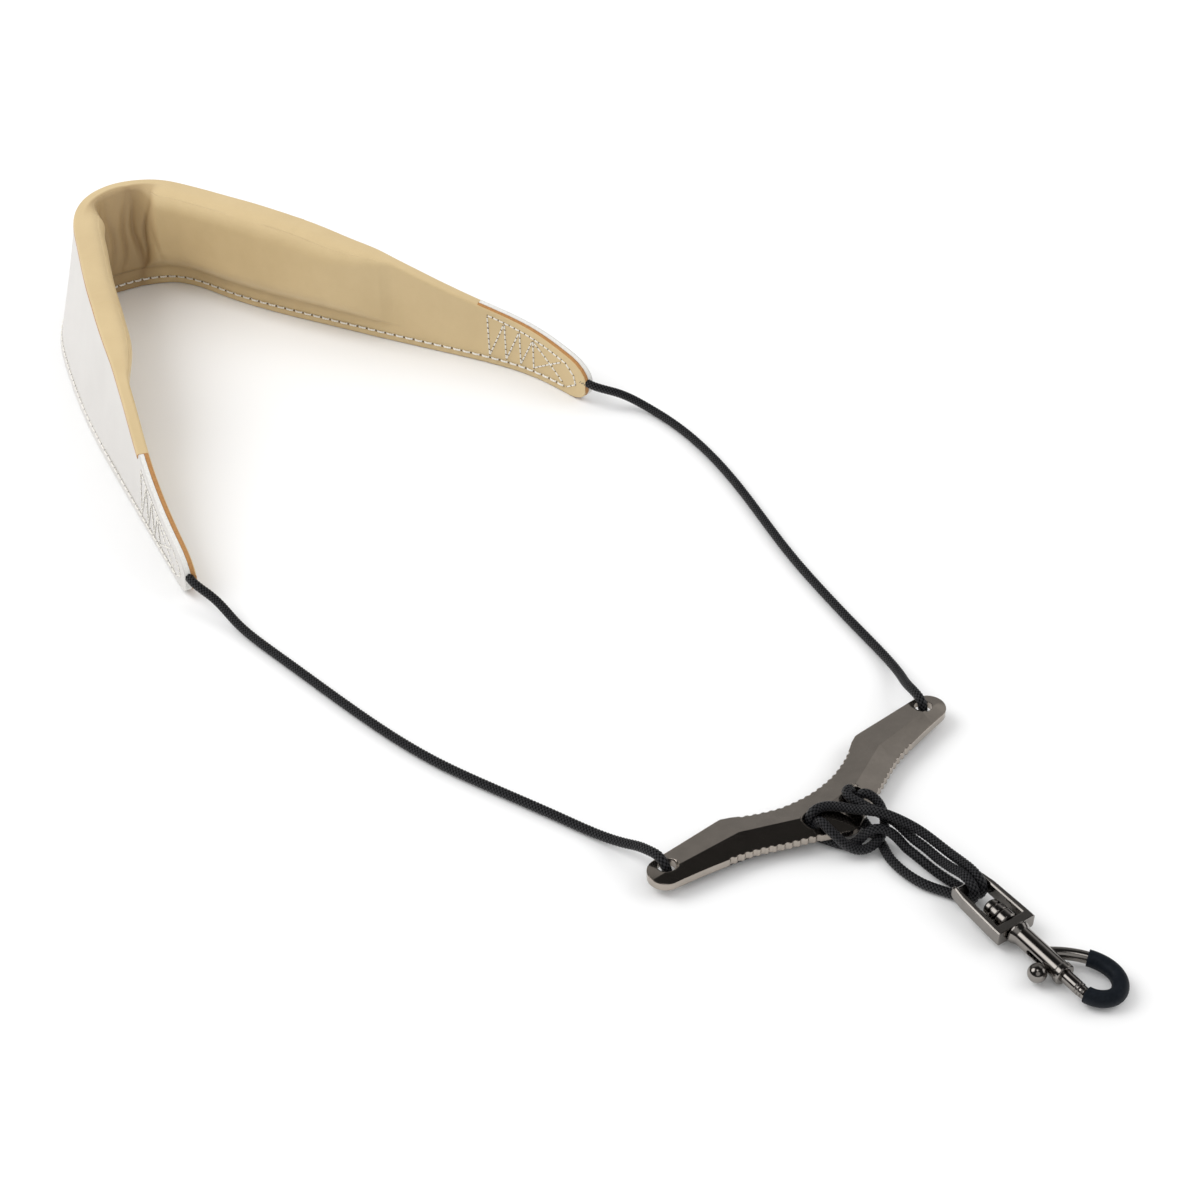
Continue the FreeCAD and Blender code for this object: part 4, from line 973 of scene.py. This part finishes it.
def make_stage():
    mesh = bpy.data.meshes.new("floor")
    far = 6.0
    mesh.from_pydata([(-far, -far, 0), (far, -far, 0), (far, far, 0), (-far, far, 0)], [], [(0, 1, 2, 3)])
    floor = bpy.data.objects.new("floor", mesh)
    bpy.context.scene.collection.objects.link(floor)
    floor.location.z = min(bounds_at_load[0][2], 0.0) - 0.0002
    paper = bpy.data.materials.new("pale_floor")
    paper.use_nodes = True
    shader = paper.node_tree.nodes["Principled BSDF"]
    shader.inputs["Base Color"].default_value = (0.86, 0.86, 0.86, 1)
    shader.inputs["Roughness"].default_value = 0.9
    shader.inputs["Specular IOR Level"].default_value = 0.1
    mesh.materials.append(paper)


def area_light(name, place, target, width, height, power):
    lamp = bpy.data.lights.new(name, "AREA")
    lamp.shape = "RECTANGLE"
    lamp.size = width
    lamp.size_y = height
    lamp.energy = power
    thing = bpy.data.objects.new(name, lamp)
    bpy.context.scene.collection.objects.link(thing)
    thing.location = place
    thing.rotation_euler = (Vector(target) - Vector(place)).to_track_quat("-Z", "Y").to_euler()
    thing.visible_glossy = False


# What polished metal sees: direction, inner and outer angle in degrees, brightness.
PANELS = [
    ((0.50, 0.80, 0.34), 20, 42, 0.36),
    ((0.78, 0.09, 0.62), 12, 22, 0.48),
    ((-0.49, 0.59, 0.64), 12, 24, 3.0),
    ((-0.20, -0.12, 1.0), 6, 12, 2.2),
    ((0.80, -0.50, 0.35), 10, 22, 1.5),
    ((-0.50, -0.60, 0.62), 14, 30, 0.7),
]
DARK_STUDIO = 0.035


def make_world():
    """White light all round for matt things; a dark room with soft panels for reflections."""
    world = bpy.data.worlds.new("studio")
    bpy.context.scene.world = world
    world.use_nodes = True
    nodes, links = world.node_tree.nodes, world.node_tree.links
    white = nodes["Background"]
    white.inputs["Color"].default_value = (1.0, 1.0, 1.0, 1)
    white.inputs["Strength"].default_value = 0.80
    where = nodes.new("ShaderNodeTexCoord").outputs["Generated"]
    level = None
    for direction, inner, outer, brightness in PANELS:
        dot = nodes.new("ShaderNodeVectorMath")
        dot.operation = "DOT_PRODUCT"
        links.new(where, dot.inputs[0])
        dot.inputs[1].default_value = Vector(direction).normalized()
        mask = nodes.new("ShaderNodeMapRange")
        mask.interpolation_type = "SMOOTHSTEP"
        mask.inputs["From Min"].default_value = math.cos(math.radians(outer))
        mask.inputs["From Max"].default_value = math.cos(math.radians(inner))
        links.new(dot.outputs["Value"], mask.inputs["Value"])
        add = nodes.new("ShaderNodeMath")
        add.operation = "MULTIPLY_ADD"
        links.new(mask.outputs["Result"], add.inputs[0])
        add.inputs[1].default_value = brightness
        if level is None:
            add.inputs[2].default_value = DARK_STUDIO
        else:
            links.new(level, add.inputs[2])
        level = add.outputs["Value"]
    panels = nodes.new("ShaderNodeBackground")
    links.new(level, panels.inputs["Strength"])
    ray = nodes.new("ShaderNodeLightPath")
    choose = nodes.new("ShaderNodeMixShader")
    links.new(ray.outputs["Is Glossy Ray"], choose.inputs["Fac"])
    links.new(white.outputs["Background"], choose.inputs[1])
    links.new(panels.outputs["Background"], choose.inputs[2])
    links.new(choose.outputs["Shader"], nodes["World Output"].inputs["Surface"])


def make_lights():
    make_world()
    area_light("key", (-0.9, 1.2, 1.5), (0, 0.2, 0), 1.3, 1.3, 20)
    area_light("fill", (1.2, -0.6, 1.2), (0, 0.2, 0), 1.4, 1.0, 8)


def make_camera():
    lens = bpy.data.cameras.new("camera")
    lens.lens = 78.0
    lens.sensor_width = 36.0
    lens.clip_start = 0.01
    thing = bpy.data.objects.new("camera", lens)
    bpy.context.scene.collection.objects.link(thing)
    thing.location = (-0.46165, -0.3109, 0.5932)
    thing.rotation_euler = Vector((0.5015, 0.5865, -0.6361)).to_track_quat("-Z", "Y").to_euler()
    bpy.context.scene.camera = thing


make_stage()
make_lights()
make_camera()
bpy.context.scene.view_settings.view_transform = "Standard"
